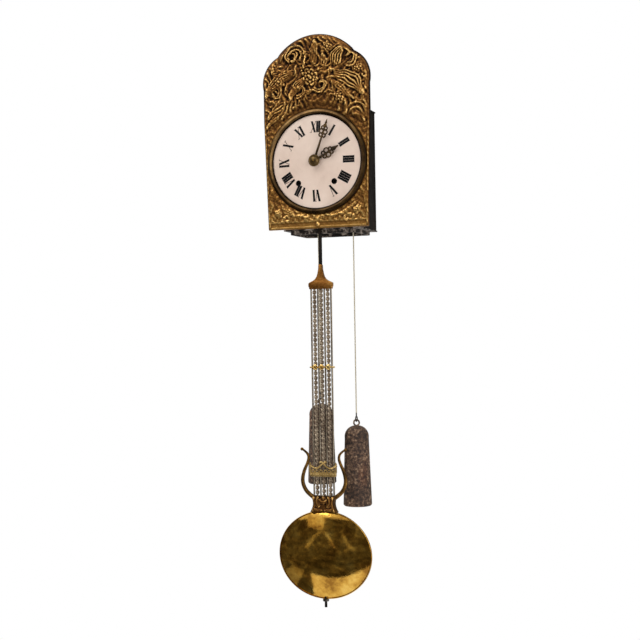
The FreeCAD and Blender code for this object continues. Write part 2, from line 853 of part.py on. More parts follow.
def click(barrel):
    x, z = click_pin_place(barrel)
    front = -(great_wheel_depth - wheel_thickness) + end_shake / 2
    tip_z = barrel[1] + ratchet_radius + click_gap
    corners = [(x, z - click_half_width), (x - click_length, tip_z),
               (x - click_length, tip_z + click_half_width),
               (x, z + click_half_width)]
    body = prism(corners, front, front + click_thickness)
    eye = rod_y(x, z, click_half_width + click_pivot_radius / 2, front, front + click_thickness)
    hole_radius = click_pivot_radius + running_clearance
    hole = rod_y(x, z, hole_radius, front - overrun, front + click_thickness + overrun)
    return fuse([body, eye]).cut(hole)


def ratchet_outline(x, z):
    points = []
    for n in range(ratchet_teeth):
        turn = 360 * n / ratchet_teeth
        points.append(polar(x, z, ratchet_radius, turn))
        points.append(polar(x, z, ratchet_radius - ratchet_depth, turn))
    return points


def make_drum(side, name):
    x, z = train_places(side)[0]
    ratchet_back = -(ratchet_front_depth - wheel_thickness)
    front_cheek = -(drum_front_depth + cheek_thickness)
    arbor_front = -(front_bar_depth - bar_thickness / 2 - end_shake)
    half = winding_square / 2
    pieces = [rod_y(x, z, drum_arbor_radius, arbor_front, back_bar_front - end_shake),
              rod_y(x, z, drum_front_pivot_radius(), front_bar_front - end_shake, arbor_front),
              rod_y(x, z, drum_pivot_radius, arbor_front, back_bar_front + bar_thickness),
              block(x - half, x + half, -winding_square_end, front_bar_front, z - half, z + half),
              prism(ratchet_outline(x, z), -ratchet_front_depth, ratchet_back),
              rod_y(x, z, hub_radius + drum_arbor_radius, ratchet_back, front_cheek),
              rod_y(x, z, cheek_radius, front_cheek, -drum_front_depth),
              rod_y(x, z, drum_radius, -drum_front_depth, -drum_back_depth),
              rod_y(x, z, cheek_radius, -drum_back_depth, -drum_back_depth + cheek_thickness),
              line_peg(x, z)]
    save(name + "_drum", [fuse(pieces)])


def line_peg(x, z):
    # a small peg on the drum, to which the line's end comes straight down
    start_y = -drum_front_depth + winding_start_gap
    low = z + 2 * line_radius
    high = low + drum_peg_length
    inner = x + math.sqrt(drum_radius ** 2 - (high - z) ** 2) - line_radius
    return block(inner, x + line_circle + line_radius, start_y - drum_peg_half_width,
                 start_y + drum_peg_half_width, low, high)


def arc_pair(p0, t0, p1, t1):
    # two tangent arcs from p0 with direction t0 to p1 with direction t1
    v = p1 - p0
    t = t0 + t1
    k = 2 * (1 - t0.dot(t1))
    vt = v.dot(t)
    d = v.dot(v) / (2 * vt) if k < 1e-9 else (-vt + math.sqrt(vt ** 2 + k * v.dot(v))) / k
    q0, q1 = p0 + t0 * d, p1 - t1 * d
    joint = (q0 + q1) * 0.5
    return [arc_in(p0, q0, joint), arc_in(joint, q1, p1)]


def arc_in(a, corner, b):
    # the arc from a to b whose tangents meet at the corner
    chord = b - a
    middle = (a + b) * 0.5
    rise = corner - middle
    bend = math.atan2(2 * rise.Length, chord.Length)
    top = middle + rise.normalize() * (chord.Length / 2 * math.tan(bend / 2))
    return Part.Arc(a, top, b).toShape()


def make_lines():
    for side, name in ((1, "going"), (-1, "strike")):
        edges, end = winding_path(*train_places(side)[0])
        wire = Part.Wire(edges)
        start = edges[0].Vertexes[0].Point
        ring = Part.Wire([Part.Circle(start, Vec(0, 0, -1), line_radius).toShape()])
        tube = wire.makePipeShell([ring], True, False)
        expected = math.pi * line_radius ** 2 * wire.Length
        print(name, "winding length", round(wire.Length), "volume share", round(tube.Volume / expected, 4),
              "least gap between turns", round(least_turn_gap(wire), 2))
        save(name + "_line_winding", [tube])
        foot = height(-weight_top_below_dial + weight_lift(side)) + hook_rise()
        save(name + "_weight_line", [rod_z(end.x, end.y, line_radius, foot, end.z)])


def least_turn_gap(wire):
    # the least gap between stretches of the line that are more than half a turn apart along it
    length = math.pi * line_circle
    points = wire.discretize(Number=round(wire.Length / line_radius))
    skip = round(length / (wire.Length / (len(points) - 1)))
    gaps = [p.distanceToPoint(q) for i, p in enumerate(points) for q in points[i + skip:]]
    return min(gaps) - 2 * line_radius


def weight_lift(side):
    return strike_weight_lift if side < 0 else 0


def winding_path(x, z):
    # From the peg the line runs straight down on to the drum's right-hand side, turns clockwise in the
    # front view while it steps to the back, and leaves straight down on the same side.
    start_y = -drum_front_depth + winding_start_gap
    count = 4 * winding_turns

    def spot(n):
        u, w = polar(x, z, line_circle, -90 * n)
        return Vec(u, start_y + winding_pitch * n / 4, w)

    def way(n):
        a = math.radians(-90 * n)
        slope = winding_pitch / (2 * math.pi * line_circle)
        return Vec(math.sin(a), slope, -math.cos(a)).normalize()

    down = Vec(0, 0, -1)
    lead = down * (2 * line_radius)
    first, last = spot(0), spot(count)
    spots = [(first, down)] + [(spot(n), way(n)) for n in range(1, count)] + [(last, down)]
    edges = [Part.LineSegment(first - lead, first).toShape()]
    for (p0, t0), (p1, t1) in zip(spots, spots[1:]):
        edges += arc_pair(p0, t0, p1, t1)
    edges.append(Part.LineSegment(last, last + lead).toShape())
    return edges, last + lead


def link_rise():
    # from the weight's top to the middle of the hook's ring, which hangs in the weight's eye
    return 2 * weight_eye_radius - weight_eye_wire - hook_link_gap - hook_wire + hook_ring_radius


def hook_rise():
    # from the weight's top to the hook's top, where the line ends
    return link_rise() + hook_ring_radius + hook_wire + hook_shank_length


def weight_body(place, y, top, foot):
    # turned iron with a domed top between the shoulder and the neck
    shoulder = top - weight_shoulder_drop
    run = (weight_shoulder_radius - weight_neck_radius) / math.sqrt(2)
    bulge = Vec(place + weight_neck_radius + run, y, shoulder + weight_shoulder_drop / math.sqrt(2))
    profile = [(0, foot), (weight_foot_radius - weight_foot_chamfer, foot),
               (weight_foot_radius, foot + weight_foot_chamfer), (weight_shoulder_radius, shoulder)]
    points = [Vec(place + r, y, z) for r, z in profile]
    neck, crown = Vec(place + weight_neck_radius, y, top), Vec(place, y, top)
    edges = [Part.LineSegment(a, b).toShape() for a, b in zip(points, points[1:])]
    edges.append(Part.Arc(points[-1], bulge, neck).toShape())
    edges.append(Part.LineSegment(neck, crown).toShape())
    edges.append(Part.LineSegment(crown, points[0]).toShape())
    return Part.Face(Part.Wire(edges)).revolve(Vec(place, y, 0), Vec(0, 0, 1), 360)


def make_weights():
    y = -(drum_front_depth - winding_start_gap - winding_pitch * winding_turns)
    for side, name in ((1, "going"), (-1, "strike")):
        place = side * barrel_place + line_circle
        top = height(-weight_top_below_dial + weight_lift(side))
        foot = height(-weight_foot_below_dial + weight_lift(side))
        eye_centre = Vec(place, y, top + weight_eye_radius)
        eye = Part.makeTorus(weight_eye_radius, weight_eye_wire, eye_centre, Vec(0, 1, 0))
        save(name + "_weight", [fuse([weight_body(place, y, top, foot), eye])])
        ring_z = top + link_rise()
        ring = Part.makeTorus(hook_ring_radius, hook_wire, Vec(place, y, ring_z), Vec(1, 0, 0))
        shank = rod_z(place, y, hook_wire, ring_z + hook_ring_radius, top + hook_rise())
        save(name + "_weight_hook", [fuse([ring, shank])])


# Anchor, crutch, suspension
def make_anchor():
    # one piece of forged iron: the arbor, the pallets and the crutch
    x, z = anchor_place
    y0, y1 = -anchor_depth, -anchor_depth + anchor_thickness
    tip_z = escape_place[1] + math.sqrt((escape_wheel_radius + pallet_gap) ** 2 - pallet_side_place ** 2)
    half = anchor_arm_width / 2
    pieces = [rod_y(x, z, arbor_radius, -crutch_front_depth, back_bar_front - end_shake),
              rod_y(x, z, pivot_radius, -crutch_front_depth, back_bar_front + bar_thickness),
              rod_y(x, z, anchor_hub_radius, y0, y1)]
    for side in (-1, 1):
        outer = side * (pallet_side_place + anchor_arm_width)
        bend = z - anchor_hub_radius
        inner = side * (pallet_side_place - pallet_root)
        tip = side * pallet_side_place, tip_z
        pieces.append(prism([(x, z + half), (outer, bend + half), (outer, tip_z + pallet_nose),
                             tip, (inner, bend - half), (x, z - half)], y0, y1))
    back = -crutch_front_depth + crutch_thickness
    pin_z = height(crutch_pin_above_dial)
    pieces += [block(-crutch_half_width / 2, crutch_half_width / 2, -crutch_front_depth, back, pin_z, z),
               rod_y(x, z, crutch_hub_radius, -crutch_front_depth, back),
               rod_y(x, pin_z, crutch_half_width, -crutch_front_depth, back),
               rod_y(x, pin_z, crutch_pin_radius, -crutch_pin_end_depth, back)]
    save("anchor", [fuse(pieces)])


def make_suspension():
    z = anchor_place[1]
    jaw_foot = z + cock_jaw_foot_above_pivot
    top = z + cock_bracket_above_pivot
    back = front_bar_front
    half = cock_width / 2
    flag = block(-half, half, back - cock_thickness, back, jaw_foot, top + cock_thickness)
    arm = block(-half, half, -cock_front_depth, back, top, top + cock_thickness)
    jaws = []
    for side in (-1, 1):
        inner = side * cock_jaw_gap / 2
        jaws.append(block(inner, inner + side * cock_jaw_width, -cock_front_depth,
                          -(crutch_front_depth + door_gap), jaw_foot, top))
    save("suspension_cock", [fuse([flag, arm] + jaws)])
    y0 = -(pendulum_depth + spring_half_depth)
    y1 = -(pendulum_depth - spring_half_depth)
    leaf = block(-spring_thickness / 2, spring_thickness / 2, y0, y1,
                 z - spring_foot_below_pivot, top - door_gap)
    save("suspension_spring", [leaf])


# Pendulum
def make_strap():
    y0, y1 = -(pendulum_depth + strap_thickness / 2), -(pendulum_depth - strap_thickness / 2)
    pivot = height(pivot_above_dial)
    top = pivot + strap_top_above_pivot
    pin_z = height(crutch_pin_above_dial)
    eye_half = strap_slot_half_height + strap_half_width / 2
    bar = block(-strap_half_width, strap_half_width, y0, y1, height(-strap_foot_below_dial), top)
    ring = rod_y(*centre_place, strap_ring_radius + strap_ring_wall, y0, y1)
    eye = block(-strap_eye_half_width, strap_eye_half_width, y0, y1, pin_z - eye_half, pin_z + eye_half)
    hole = rod_y(*centre_place, strap_ring_radius, y0 - overrun, y1 + overrun)
    slot = block(-strap_slot_half_width, strap_slot_half_width, y0 - overrun, y1 + overrun,
                 pin_z - strap_slot_half_height, pin_z + strap_slot_half_height)
    slit_half = spring_thickness / 2 + seat_clearance
    slit = block(-slit_half, slit_half, y0 - overrun, y1 + overrun,
                 pivot - spring_foot_below_pivot - seat_clearance, top + overrun)
    save("pendulum_strap", [fuse([bar, ring, eye]).cut([hole, slot, slit])])


def make_cap():
    top = height(-cap_top_below_dial)
    foot = height(-cap_foot_below_dial)
    waist = height(-cap_waist_below_dial)
    front = -pendulum_depth - cap_half_depth

    def corners(side):
        eave = Vec(side * cap_half_width, front, foot + cap_eave_height)
        return (Vec(side * cap_neck_half_width, front, top),
                Vec(side * cap_waist_half_width, front, waist), eave,
                Vec(eave.x, front, foot))

    a, b, c, d = corners(1)
    e, f, g, h = corners(-1)
    lines = [Part.LineSegment(p, q).toShape() for p, q in ((c, d), (d, h), (h, g), (e, a))]
    edges = [Part.Arc(a, b, c).toShape()] + lines[:3] + [Part.Arc(g, f, e).toShape(), lines[3]]
    body = Part.Face(Part.Wire(edges)).extrude(Vec(0, 2 * cap_half_depth, 0))
    bead = block(-cap_half_width, cap_half_width,
                 front - cap_bead_rise, front, foot, foot + cap_bead_height)
    y0 = -(pendulum_depth + strap_thickness / 2) - seat_clearance
    y1 = -(pendulum_depth - strap_thickness / 2) + seat_clearance
    half = strap_half_width + seat_clearance
    slot = block(-half, half, y0, y1, height(-strap_foot_below_dial) - seat_clearance, top + overrun)
    save("pendulum_cap", [fuse([body, bead]).cut(slot)])


def rod_places():
    return [(n - (rod_count - 1) / 2) * rod_pitch for n in range(rod_count)]


def twisted_reach():
    return math.hypot(twisted_half_width, twisted_half_thickness)


def twisted_rod(x):
    # a flat bar twisted about its own length, its skin folded between turned sections
    foot = height(-rods_foot_below_dial)
    length = height(-cap_foot_below_dial) - foot
    steps = round(length / twist_pitch * twist_steps_per_turn)
    u, v = twisted_half_width, twisted_half_thickness
    section = [(u, v), (-u, v), (-u, -v), (u, -v)]
    rings = []
    for n in range(steps + 1):
        a = 2 * math.pi * n / twist_steps_per_turn
        cos, sin = math.cos(a), math.sin(a)
        rings.append([Vec(x + p * cos - q * sin, -pendulum_depth + p * sin + q * cos,
                          foot + length * n / steps)
                      for p, q in section])
    faces = [flat_face(rings[0][::-1]), flat_face(rings[-1])]
    for low, high in zip(rings, rings[1:]):
        for k in range(4):
            nxt = (k + 1) % 4
            faces += [flat_face([low[k], low[nxt], high[nxt]]), flat_face([low[k], high[nxt], high[k]])]
    solid = Part.makeSolid(Part.makeShell(faces))
    if solid.Volume < 0:
        solid.reverse()
    return solid


def flat_face(points):
    return Part.Face(Part.makePolygon(points + points[:1]))


def make_rods():
    top = height(-cap_foot_below_dial)
    foot = height(-rods_foot_below_dial)
    places = rod_places()
    save("plain_rods", [rod_z(x, -pendulum_depth, plain_rod_radius, foot, top) for x in places[0::2]])
    save("twisted_rods", [twisted_rod(x) for x in places[1::2]])


def make_clip():
    z = height(-clip_below_dial)
    front, back = -pendulum_depth - clip_half_depth, -pendulum_depth + clip_half_depth
    bar = block(-clip_half_width, clip_half_width, front, back, z - clip_half_height, z + clip_half_height)
    end = clip_half_width - clip_bead_radius / 2
    beads = [rod_y(x, z, clip_bead_radius, front - clip_bead_rise, back) for x in (-end, 0, end)]
    holes = []
    for n, x in enumerate(rod_places()):
        reach = twisted_reach() + rod_gap if n % 2 else plain_rod_radius + seat_clearance
        holes.append(rod_z(x, -pendulum_depth, reach, z - clip_half_width, z + clip_half_width))
    save("rod_clip", [fuse([bar] + beads).cut(holes)])


def make_crossbar():
    # an openwork garland in front of the rods, between the lyre's arms
    top, foot = height(-crossbar_top_below_dial), height(-crossbar_foot_below_dial)
    back = -(pendulum_depth + twisted_reach() + rod_gap)
    front = back - crossbar_thickness
    half = crossbar_half_width
    rail = (top - foot) * crossbar_rail_share
    post = 2 * half * crossbar_end_share
    pieces = [block(-half, half, front, back, top - rail, top),
              block(-half, half, front, back, foot, foot + rail)]
    pieces += [block(side * half, side * (half - post), front, back, foot, top) for side in (-1, 1)]
    middle = (top + foot) / 2
    for n in (-1, 0, 1):
        x = n * 2 * swag_radius
        ring = rod_y(x, middle, swag_radius + swag_wall / 2, front, back)
        pieces.append(ring.cut(rod_y(x, middle, swag_radius - swag_wall / 2, front, back)))
    save("lyre_crossbar", [fuse(pieces)])


def lyre_arm(side):
    # a curved brass arm between two smooth edges, thinner towards its tip
    half = lyre_arm_half_width
    middle = [(lyre_foot_place, -lyre_foot_below_dial),
              (lyre_belly_place - lyre_foot_lean, -lyre_foot_below_dial + lyre_foot_rise),
              (lyre_belly_place, -lyre_belly_below_dial),
              (lyre_belly_place - lyre_belly_lean, -lyre_belly_below_dial + lyre_belly_rise),
              (lyre_waist_place, -lyre_waist_below_dial),
              (lyre_waist_place, -lyre_waist_below_dial + lyre_waist_rise),
              (lyre_tip_place, -lyre_tip_below_dial)]
    front = -pendulum_depth - lyre_arm_half_depth
    inner, outer = [], []
    for n, (x, z) in enumerate(middle):
        before, after = middle[max(n - 1, 0)], middle[min(n + 1, len(middle) - 1)]
        turn = turn_between(before, after) + 90
        u, w = polar(0, 0, half * (1 - lyre_taper_share * n / (len(middle) - 1)), turn)
        inner.append(Vec(side * (x + u), front, height(z + w)))
        outer.append(Vec(side * (x - u), front, height(z - w)))
    curves = [Part.BSplineCurve(), Part.BSplineCurve()]
    curves[0].interpolate(inner)
    curves[1].interpolate(outer)
    edges = [curve.toShape() for curve in curves]
    edges += [Part.LineSegment(inner[n], outer[n]).toShape() for n in (0, -1)]
    face = Part.Face(Part.Wire(Part.__sortEdges__(edges)))
    arm = face.extrude(Vec(0, 2 * lyre_arm_half_depth, 0))
    tip = Vec(side * lyre_tip_place, -pendulum_depth, height(-lyre_tip_below_dial))
    knob = Part.makeSphere(lyre_knob_radius, tip)
    return fuse([arm, knob])


def make_lyre():
    arms = [lyre_arm(side) for side in (-1, 1)]
    save("lyre_arms", arms)
    top, foot = height(-collar_top_below_dial), height(-collar_foot_below_dial)
    waist = (top + foot) / 2
    right = [(collar_top_half_width, top), (collar_waist_half_width, waist), (collar_foot_half_width, foot)]
    corners = right + [(-x, z) for x, z in reversed(right)]
    base = prism(corners, -pendulum_depth - collar_half_depth, -pendulum_depth + collar_half_depth)
    save("lyre_collar", [base.cut([bob_lens(bob_core_gap)] + arms + [bob_rod_shape(seat_clearance)])])


# Bob: two domed shells on a flat disc, carried by the threaded rod and its nut
def bob_place():
    return Vec(0, -pendulum_depth, height(-bob_centre_below_dial))


def dome(rise, grow):
    # one side of the lens, rising along -Y when the rise is positive
    centre = bob_place()
    radius = bob_half_height + grow
    way = -1 if rise > 0 else 1
    depth = abs(rise) + grow
    ball = (radius ** 2 + depth ** 2) / (2 * depth)
    sphere_centre = Vec(centre.x, centre.y + way * (depth - ball), centre.z)
    sphere = Part.makeSphere(ball, sphere_centre)
    side = block(-radius - overrun, radius + overrun, centre.y, centre.y + way * (depth + overrun),
                 centre.z - radius - overrun,
                 centre.z + radius + overrun)
    return sphere.common(side)


def widened(shape):
    # the bob is a little wider than it is high
    centre = bob_place()
    matrix = FreeCAD.Matrix()
    matrix.move(Vec(-centre.x, -centre.y, -centre.z))
    matrix.scale(bob_half_width / bob_half_height, 1, 1)
    matrix.move(centre)
    return shape.transformGeometry(matrix)


def bob_lens(grow):
    return widened(fuse([dome(bob_front_rise, grow), dome(-bob_back_rise, grow)]))


def bob_rod_shape(grow):
    top = height(-collar_top_below_dial)
    return rod_z(0, -pendulum_depth, bob_rod_radius + grow, height(-bob_rod_end_below_dial), top)


def make_bob():
    # two domed shells on the flat rim of a core that fills out inside them
    centre = bob_place()
    rod_room = bob_rod_shape(seat_clearance)
    half = bob_rim_half_thickness
    wide = bob_half_width + overrun
    slab = block(-wide, wide, centre.y - half, centre.y + half, centre.z - wide, centre.z + wide)
    front = widened(dome(bob_front_rise, 0).cut(dome(bob_front_rise, -bob_sheet)))
    back = widened(dome(-bob_back_rise, 0).cut(dome(-bob_back_rise, -bob_sheet)))
    save("bob_front_shell", [front.cut([slab, rod_room])])
    save("bob_back_shell", [back.cut([slab, rod_room])])
    fill_half = (bob_back_rise - bob_sheet) / 2 - bob_core_gap
    filler = block(-bob_half_width / 2, bob_half_width / 2, centre.y - fill_half, centre.y + fill_half,
                   centre.z - bob_half_height / 2, centre.z + bob_half_height / 2)
    save("bob_core", [fuse([bob_lens(0).common(slab), filler]).cut(rod_room)])
    save("bob_rod", [bob_rod_shape(0)])
    nut_foot = centre.z - bob_half_height - nut_gap - nut_height
    corners = [polar(0, 0, nut_radius, n * 360 / nut_sides) for n in range(nut_sides)]
    points = [Vec(x, -pendulum_depth + y, nut_foot) for x, y in corners]
    nut = flat_face(points).extrude(Vec(0, 0, nut_height))
    save("rating_nut", [nut.cut(bob_rod_shape(seat_clearance))])


# Dial side: plate, pillars, fronton, enamel, bezel, hands
def make_dial_plate():
    # a flat iron plate with four feet riveted to it
    front = -dial_plate_front_depth
    back = front + dial_plate_thickness
    half = dial_plate_half_width
    plate = block(-half, half, front, back, height(-dial_plate_foot), height(dial_plate_top))
    holes = arbor_holes([centre_place], 2 * hour_pipe_radius, front, back)
    holes += arbor_holes([train_places(side)[0] for side in (-1, 1)], winding_square, front, back)
    feet = [rod_y(side * pillar_side_place, height(place), pillar_radius, back, -case_front_depth)
            for side in (-1, 1) for place in (pillar_top_place, -pillar_foot_place)]
    save("dial_plate", [fuse([plate] + feet).cut(holes)])


def fronton_wire(margin, y):
    # the sheet's outline, drawn in by a margin, in the plane at y
    def at(x, z):
        return Vec(x, y, height(z))

    m = margin
    crown = at(crown_half_width - m, crown_side_height - m)
    notch = at(notch_half_width - m, notch_height - m)
    shoulder = at(shoulder_half_width - m, shoulder_height - m)
    side_top = at(side_half_width - m, side_top_height)
    side_foot = at(side_half_width - m, side_foot_height)
    foot = at(fronton_foot_half_width - m, -fronton_foot + m)

    def left(p):
        return Vec(-p.x, p.y, p.z)

    top = at(0, fronton_top - m)
    edges = [Part.Arc(left(crown), top, crown).toShape(), Part.LineSegment(crown, notch).toShape(),
             Part.Arc(notch, shoulder, side_top).toShape(), Part.LineSegment(side_top, side_foot).toShape(),
             Part.LineSegment(side_foot, foot).toShape(), Part.LineSegment(foot, left(foot)).toShape(),
             Part.LineSegment(left(foot), left(side_foot)).toShape(),
             Part.LineSegment(left(side_foot), left(side_top)).toShape(),
             Part.Arc(left(side_top), left(shoulder), left(notch)).toShape(),
             Part.LineSegment(left(notch), left(crown)).toShape()]
    return Part.Wire(edges)


def fronton_slab(margin, y0, y1):
    return Part.Face(fronton_wire(margin, y0)).extrude(Vec(0, y1 - y0, 0))


def flower(x, z, y):
    # a high middle with a ring of lower petals
    reach = flower_radius - flower_petal_radius
    places = [polar(x, z, reach, 360 * n / flower_petals) for n in range(flower_petals)]
    petals = [rod_y(px, pz, flower_petal_radius, y - flower_rise, y + relief_sink) for px, pz in places]
    return petals + [rod_y(x, z, flower_petal_radius, y - 2 * flower_rise, y + relief_sink)]


def leaf_fan(y):
    # pointed leaves that spread upwards from one point
    leaves = []
    for n in range(leaf_count):
        turn = 90 + leaf_spread * (n / (leaf_count - 1) - 0.5)
        foot = (0, height(leaf_foot_height))
        waist = polar(*foot, leaf_length * leaf_waist_share, turn)
        u, w = polar(0, 0, leaf_half_width, turn + 90)
        corners = [foot, (waist[0] - u, waist[1] - w), polar(*foot, leaf_length, turn),
                   (waist[0] + u, waist[1] + w)]
        leaves.append(prism(corners, y - scroll_rise, y + relief_sink))
    return leaves


def scroll(x, z, radius, y):
    ring = rod_y(x, z, radius + scroll_half_width, y - scroll_rise, y + relief_sink)
    return ring.cut(rod_y(x, z, radius - scroll_half_width, y - scroll_rise, y + relief_sink))


def make_fronton():
    # one stamped sheet: rim bead, raised field with scrolls, flowers and a fan of leaves, plain foot band
    back = -dial_plate_front_depth
    front = back - fronton_sheet
    face = front - fronton_relief_rise
    sheet = fronton_slab(0, front, back + return_edge_depth)
    sheet = sheet.cut(fronton_slab(fronton_sheet, back, back + return_edge_depth + overrun))
    bead = fronton_slab(0, front - rim_bead_rise, front)
    bead = bead.cut(fronton_slab(rim_bead_width, front - rim_bead_rise - overrun, front + overrun))
    band_top = height(-fronton_foot) + band_height
    raised = fronton_slab(fronton_relief_margin, face, front)
    raised = raised.cut([block(-side_half_width, side_half_width, face - overrun, front + overrun,
                               height(-fronton_foot), band_top),
                         rod_y(*centre_place, relief_hole_radius, face - overrun, front + overrun)])
    pieces = [sheet, bead, raised]
    for x, above in flower_places:
        pieces += flower(x, height(above), face)
    pieces += [scroll(x, height(above), radius, face) for x, above, radius in scroll_places]
    pieces += leaf_fan(face)
    pieces.append(rod_y(0, height(-boss_below_dial), boss_radius, front - boss_rise, front + relief_sink))
    whole = pieces[0].fuse(pieces[1:])
    # the raised field is hollow behind, like every stamped sheet
    hollow = fronton_slab(fronton_relief_margin + fronton_sheet, face + fronton_sheet, back)
    hollow = hollow.cut([block(-side_half_width, side_half_width, face, back, height(-fronton_foot),
                               band_top + fronton_sheet),
                         rod_y(*centre_place, relief_hole_radius + fronton_sheet, face, back)])
    hole = rod_y(*centre_place, fronton_hole_radius, front - overrun, back + overrun)
    save("fronton", [whole.cut([hollow, hole])])


def dial_surface_depth(radius, thickness):
    # how far the dial's face stands forward of its rim's back at a radius
    ball = (enamel_radius ** 2 + enamel_rise ** 2) / (2 * enamel_rise)
    return thickness + math.sqrt(ball ** 2 - radius ** 2) - (ball - enamel_rise)


def make_dial():
    x, z = centre_place
    back = -dial_plate_front_depth

    def point(radius, thickness):
        return Vec(x + radius, back - dial_surface_depth(radius, thickness), z)

    front_centre, back_centre = point(0, enamel_thickness), point(0, 0)
    front_rim, back_rim = point(enamel_radius, enamel_thickness), point(enamel_radius, 0)
    half = enamel_radius / 2
    edges = [Part.Arc(back_centre, point(half, 0), back_rim).toShape(),
             Part.LineSegment(back_rim, front_rim).toShape(),
             Part.Arc(front_rim, point(half, enamel_thickness), front_centre).toShape(),
             Part.LineSegment(front_centre, back_centre).toShape()]
    disc = Part.Face(Part.Wire(edges)).revolve(Vec(x, 0, z), Vec(0, 1, 0), 360)
    y0, y1 = front_centre.y - overrun, back + overrun
    holes = [rod_y(x, z, dial_centre_hole_radius, y0, y1)]
    holes += [rod_y(*train_places(side)[0], winding_hole_radius, y0, y1) for side in (-1, 1)]
    save("enamel_dial", [disc.cut(holes)])

    seat = fronton_sheet
    lip = dial_surface_depth(visible_dial_radius, enamel_thickness) + bezel_dial_gap
    outer, inner = bezel_outer_radius, visible_dial_radius
    crest = seat + bezel_rise
    step = fronton_hole_radius + bezel_lip
    profile = [(outer, seat), (outer, seat + bezel_rise / 2), (outer - bezel_lip, crest - bezel_lip),
               ((outer + inner) / 2, crest), (inner + bezel_lip, lip + bezel_lip + bezel_dial_gap),
               (inner, lip + bezel_lip), (inner, lip), (step, lip), (step, seat)]
    save("dial_bezel", [turned(profile, Vec(x, back, z), Vec(0, -1, 0))])


def along_hand(turn):
    # places along and across a hand that points the turn clockwise of twelve
    def at(u, v):
        x, z = polar(*centre_place, u, 90 - turn)
        return polar(x, z, v, 180 - turn)

    return at


def make_hand(name, length, turn, depth, bore):
    # a slim blade with a pierced bulb of four rings and a small leaf at the tip
    at = along_hand(turn)
    y0, y1 = -depth, -depth + hand_thickness
    half = hand_shaft_half_width
    blade = prism([at(0, -half), at(length, -hand_tip_half_width),
                   at(length, hand_tip_half_width), at(0, half)],
                  y0, y1)
    middle, ring = length * bulb_place_share, length * bulb_ring_share
    rings = []
    for u, v, r in ((middle - 2 * ring, 0, ring), (middle, ring, ring), (middle, -ring, ring),
                    (middle + 2 * ring, 0, ring)):
        outside = rod_y(*at(u, v), r + half / 2, y0, y1)
        rings.append(outside.cut(rod_y(*at(u, v), r - half / 2, y0, y1)))
    leaf = prism([at(length, 0), at(length * (1 - bulb_ring_share), ring / 2),
                  at(length * (1 - 2 * bulb_ring_share), 0),
                  at(length * (1 - bulb_ring_share), -ring / 2)], y0, y1)
    whole = fuse([blade, rod_y(*centre_place, hand_hub_radius, y0, y1), leaf] + rings)
    save(name, [whole.cut(rod_y(*centre_place, bore, y0 - overrun, y1 + overrun))])


def make_hands():
    make_hand("minute_hand", minute_hand_length, minute_hand_turn, minute_hand_depth,
              cannon_pipe_radius + seat_clearance)
    make_hand("hour_hand", hour_hand_length, hour_hand_turn, hour_hand_depth,
              hour_pipe_radius + seat_clearance)
    x, z = centre_place
    bore = centre_arbor_radius + running_clearance
    profile = [(bore, 0), (collet_radius, 0), (collet_radius - collet_edge, collet_edge),
               (collet_radius / 2, collet_height - collet_edge / 2), (bore, collet_height)]
    save("hand_collet", [turned(profile, Vec(x, -minute_hand_depth, z), Vec(0, -1, 0))])


def make_motion_work():
    first_module = 2 * motion_centre_distance / (cannon_teeth + minute_wheel_teeth)
    second_module = 2 * motion_centre_distance / (minute_pinion_teeth + hour_wheel_teeth)
    cannon_phase, minute_phase = mesh_phases(centre_place, motion_place, minute_wheel_teeth)
    hour_phase, minute_pinion_phase = mesh_phases(centre_place, motion_place, minute_pinion_teeth)
    thick = motion_wheel_thickness
    first_back = -cannon_wheel_depth + thick
    cannon = toothed(centre_place, cannon_teeth, first_module, cannon_phase, cannon_wheel_depth, thick,
                     pinion_addendum_share)
    pipe = rod_y(*centre_place, cannon_pipe_radius, first_back, -minute_hand_depth)
    bore = rod_y(*centre_place, centre_arbor_radius + running_clearance, -minute_hand_depth - overrun,
                 first_back + overrun)
    save("cannon_wheel", [fuse([cannon, pipe]).cut(bore)])

    wheel = toothed(motion_place, minute_wheel_teeth, first_module, minute_phase, cannon_wheel_depth, thick,
                    wheel_addendum_share)
    pinion = toothed(motion_place, minute_pinion_teeth, second_module, minute_pinion_phase,
                     hour_wheel_depth,
                     hour_wheel_depth - cannon_wheel_depth + thick, pinion_addendum_share)
    bore = rod_y(*motion_place, motion_stud_radius + running_clearance, -hour_wheel_depth - overrun,
                 first_back + overrun)
    save("minute_wheel", [fuse([wheel, pinion]).cut(bore)])

    hour_back = -hour_wheel_depth + thick
    hour = toothed(centre_place, hour_wheel_teeth, second_module, hour_phase, hour_wheel_depth, thick,
                   wheel_addendum_share)
    pipe = rod_y(*centre_place, hour_pipe_radius, hour_back, -hour_hand_depth)
    bore = rod_y(*centre_place, cannon_pipe_radius + running_clearance, -hour_hand_depth - overrun,
                 hour_back + overrun)
    save("hour_wheel", [fuse([hour, pipe]).cut(bore)])


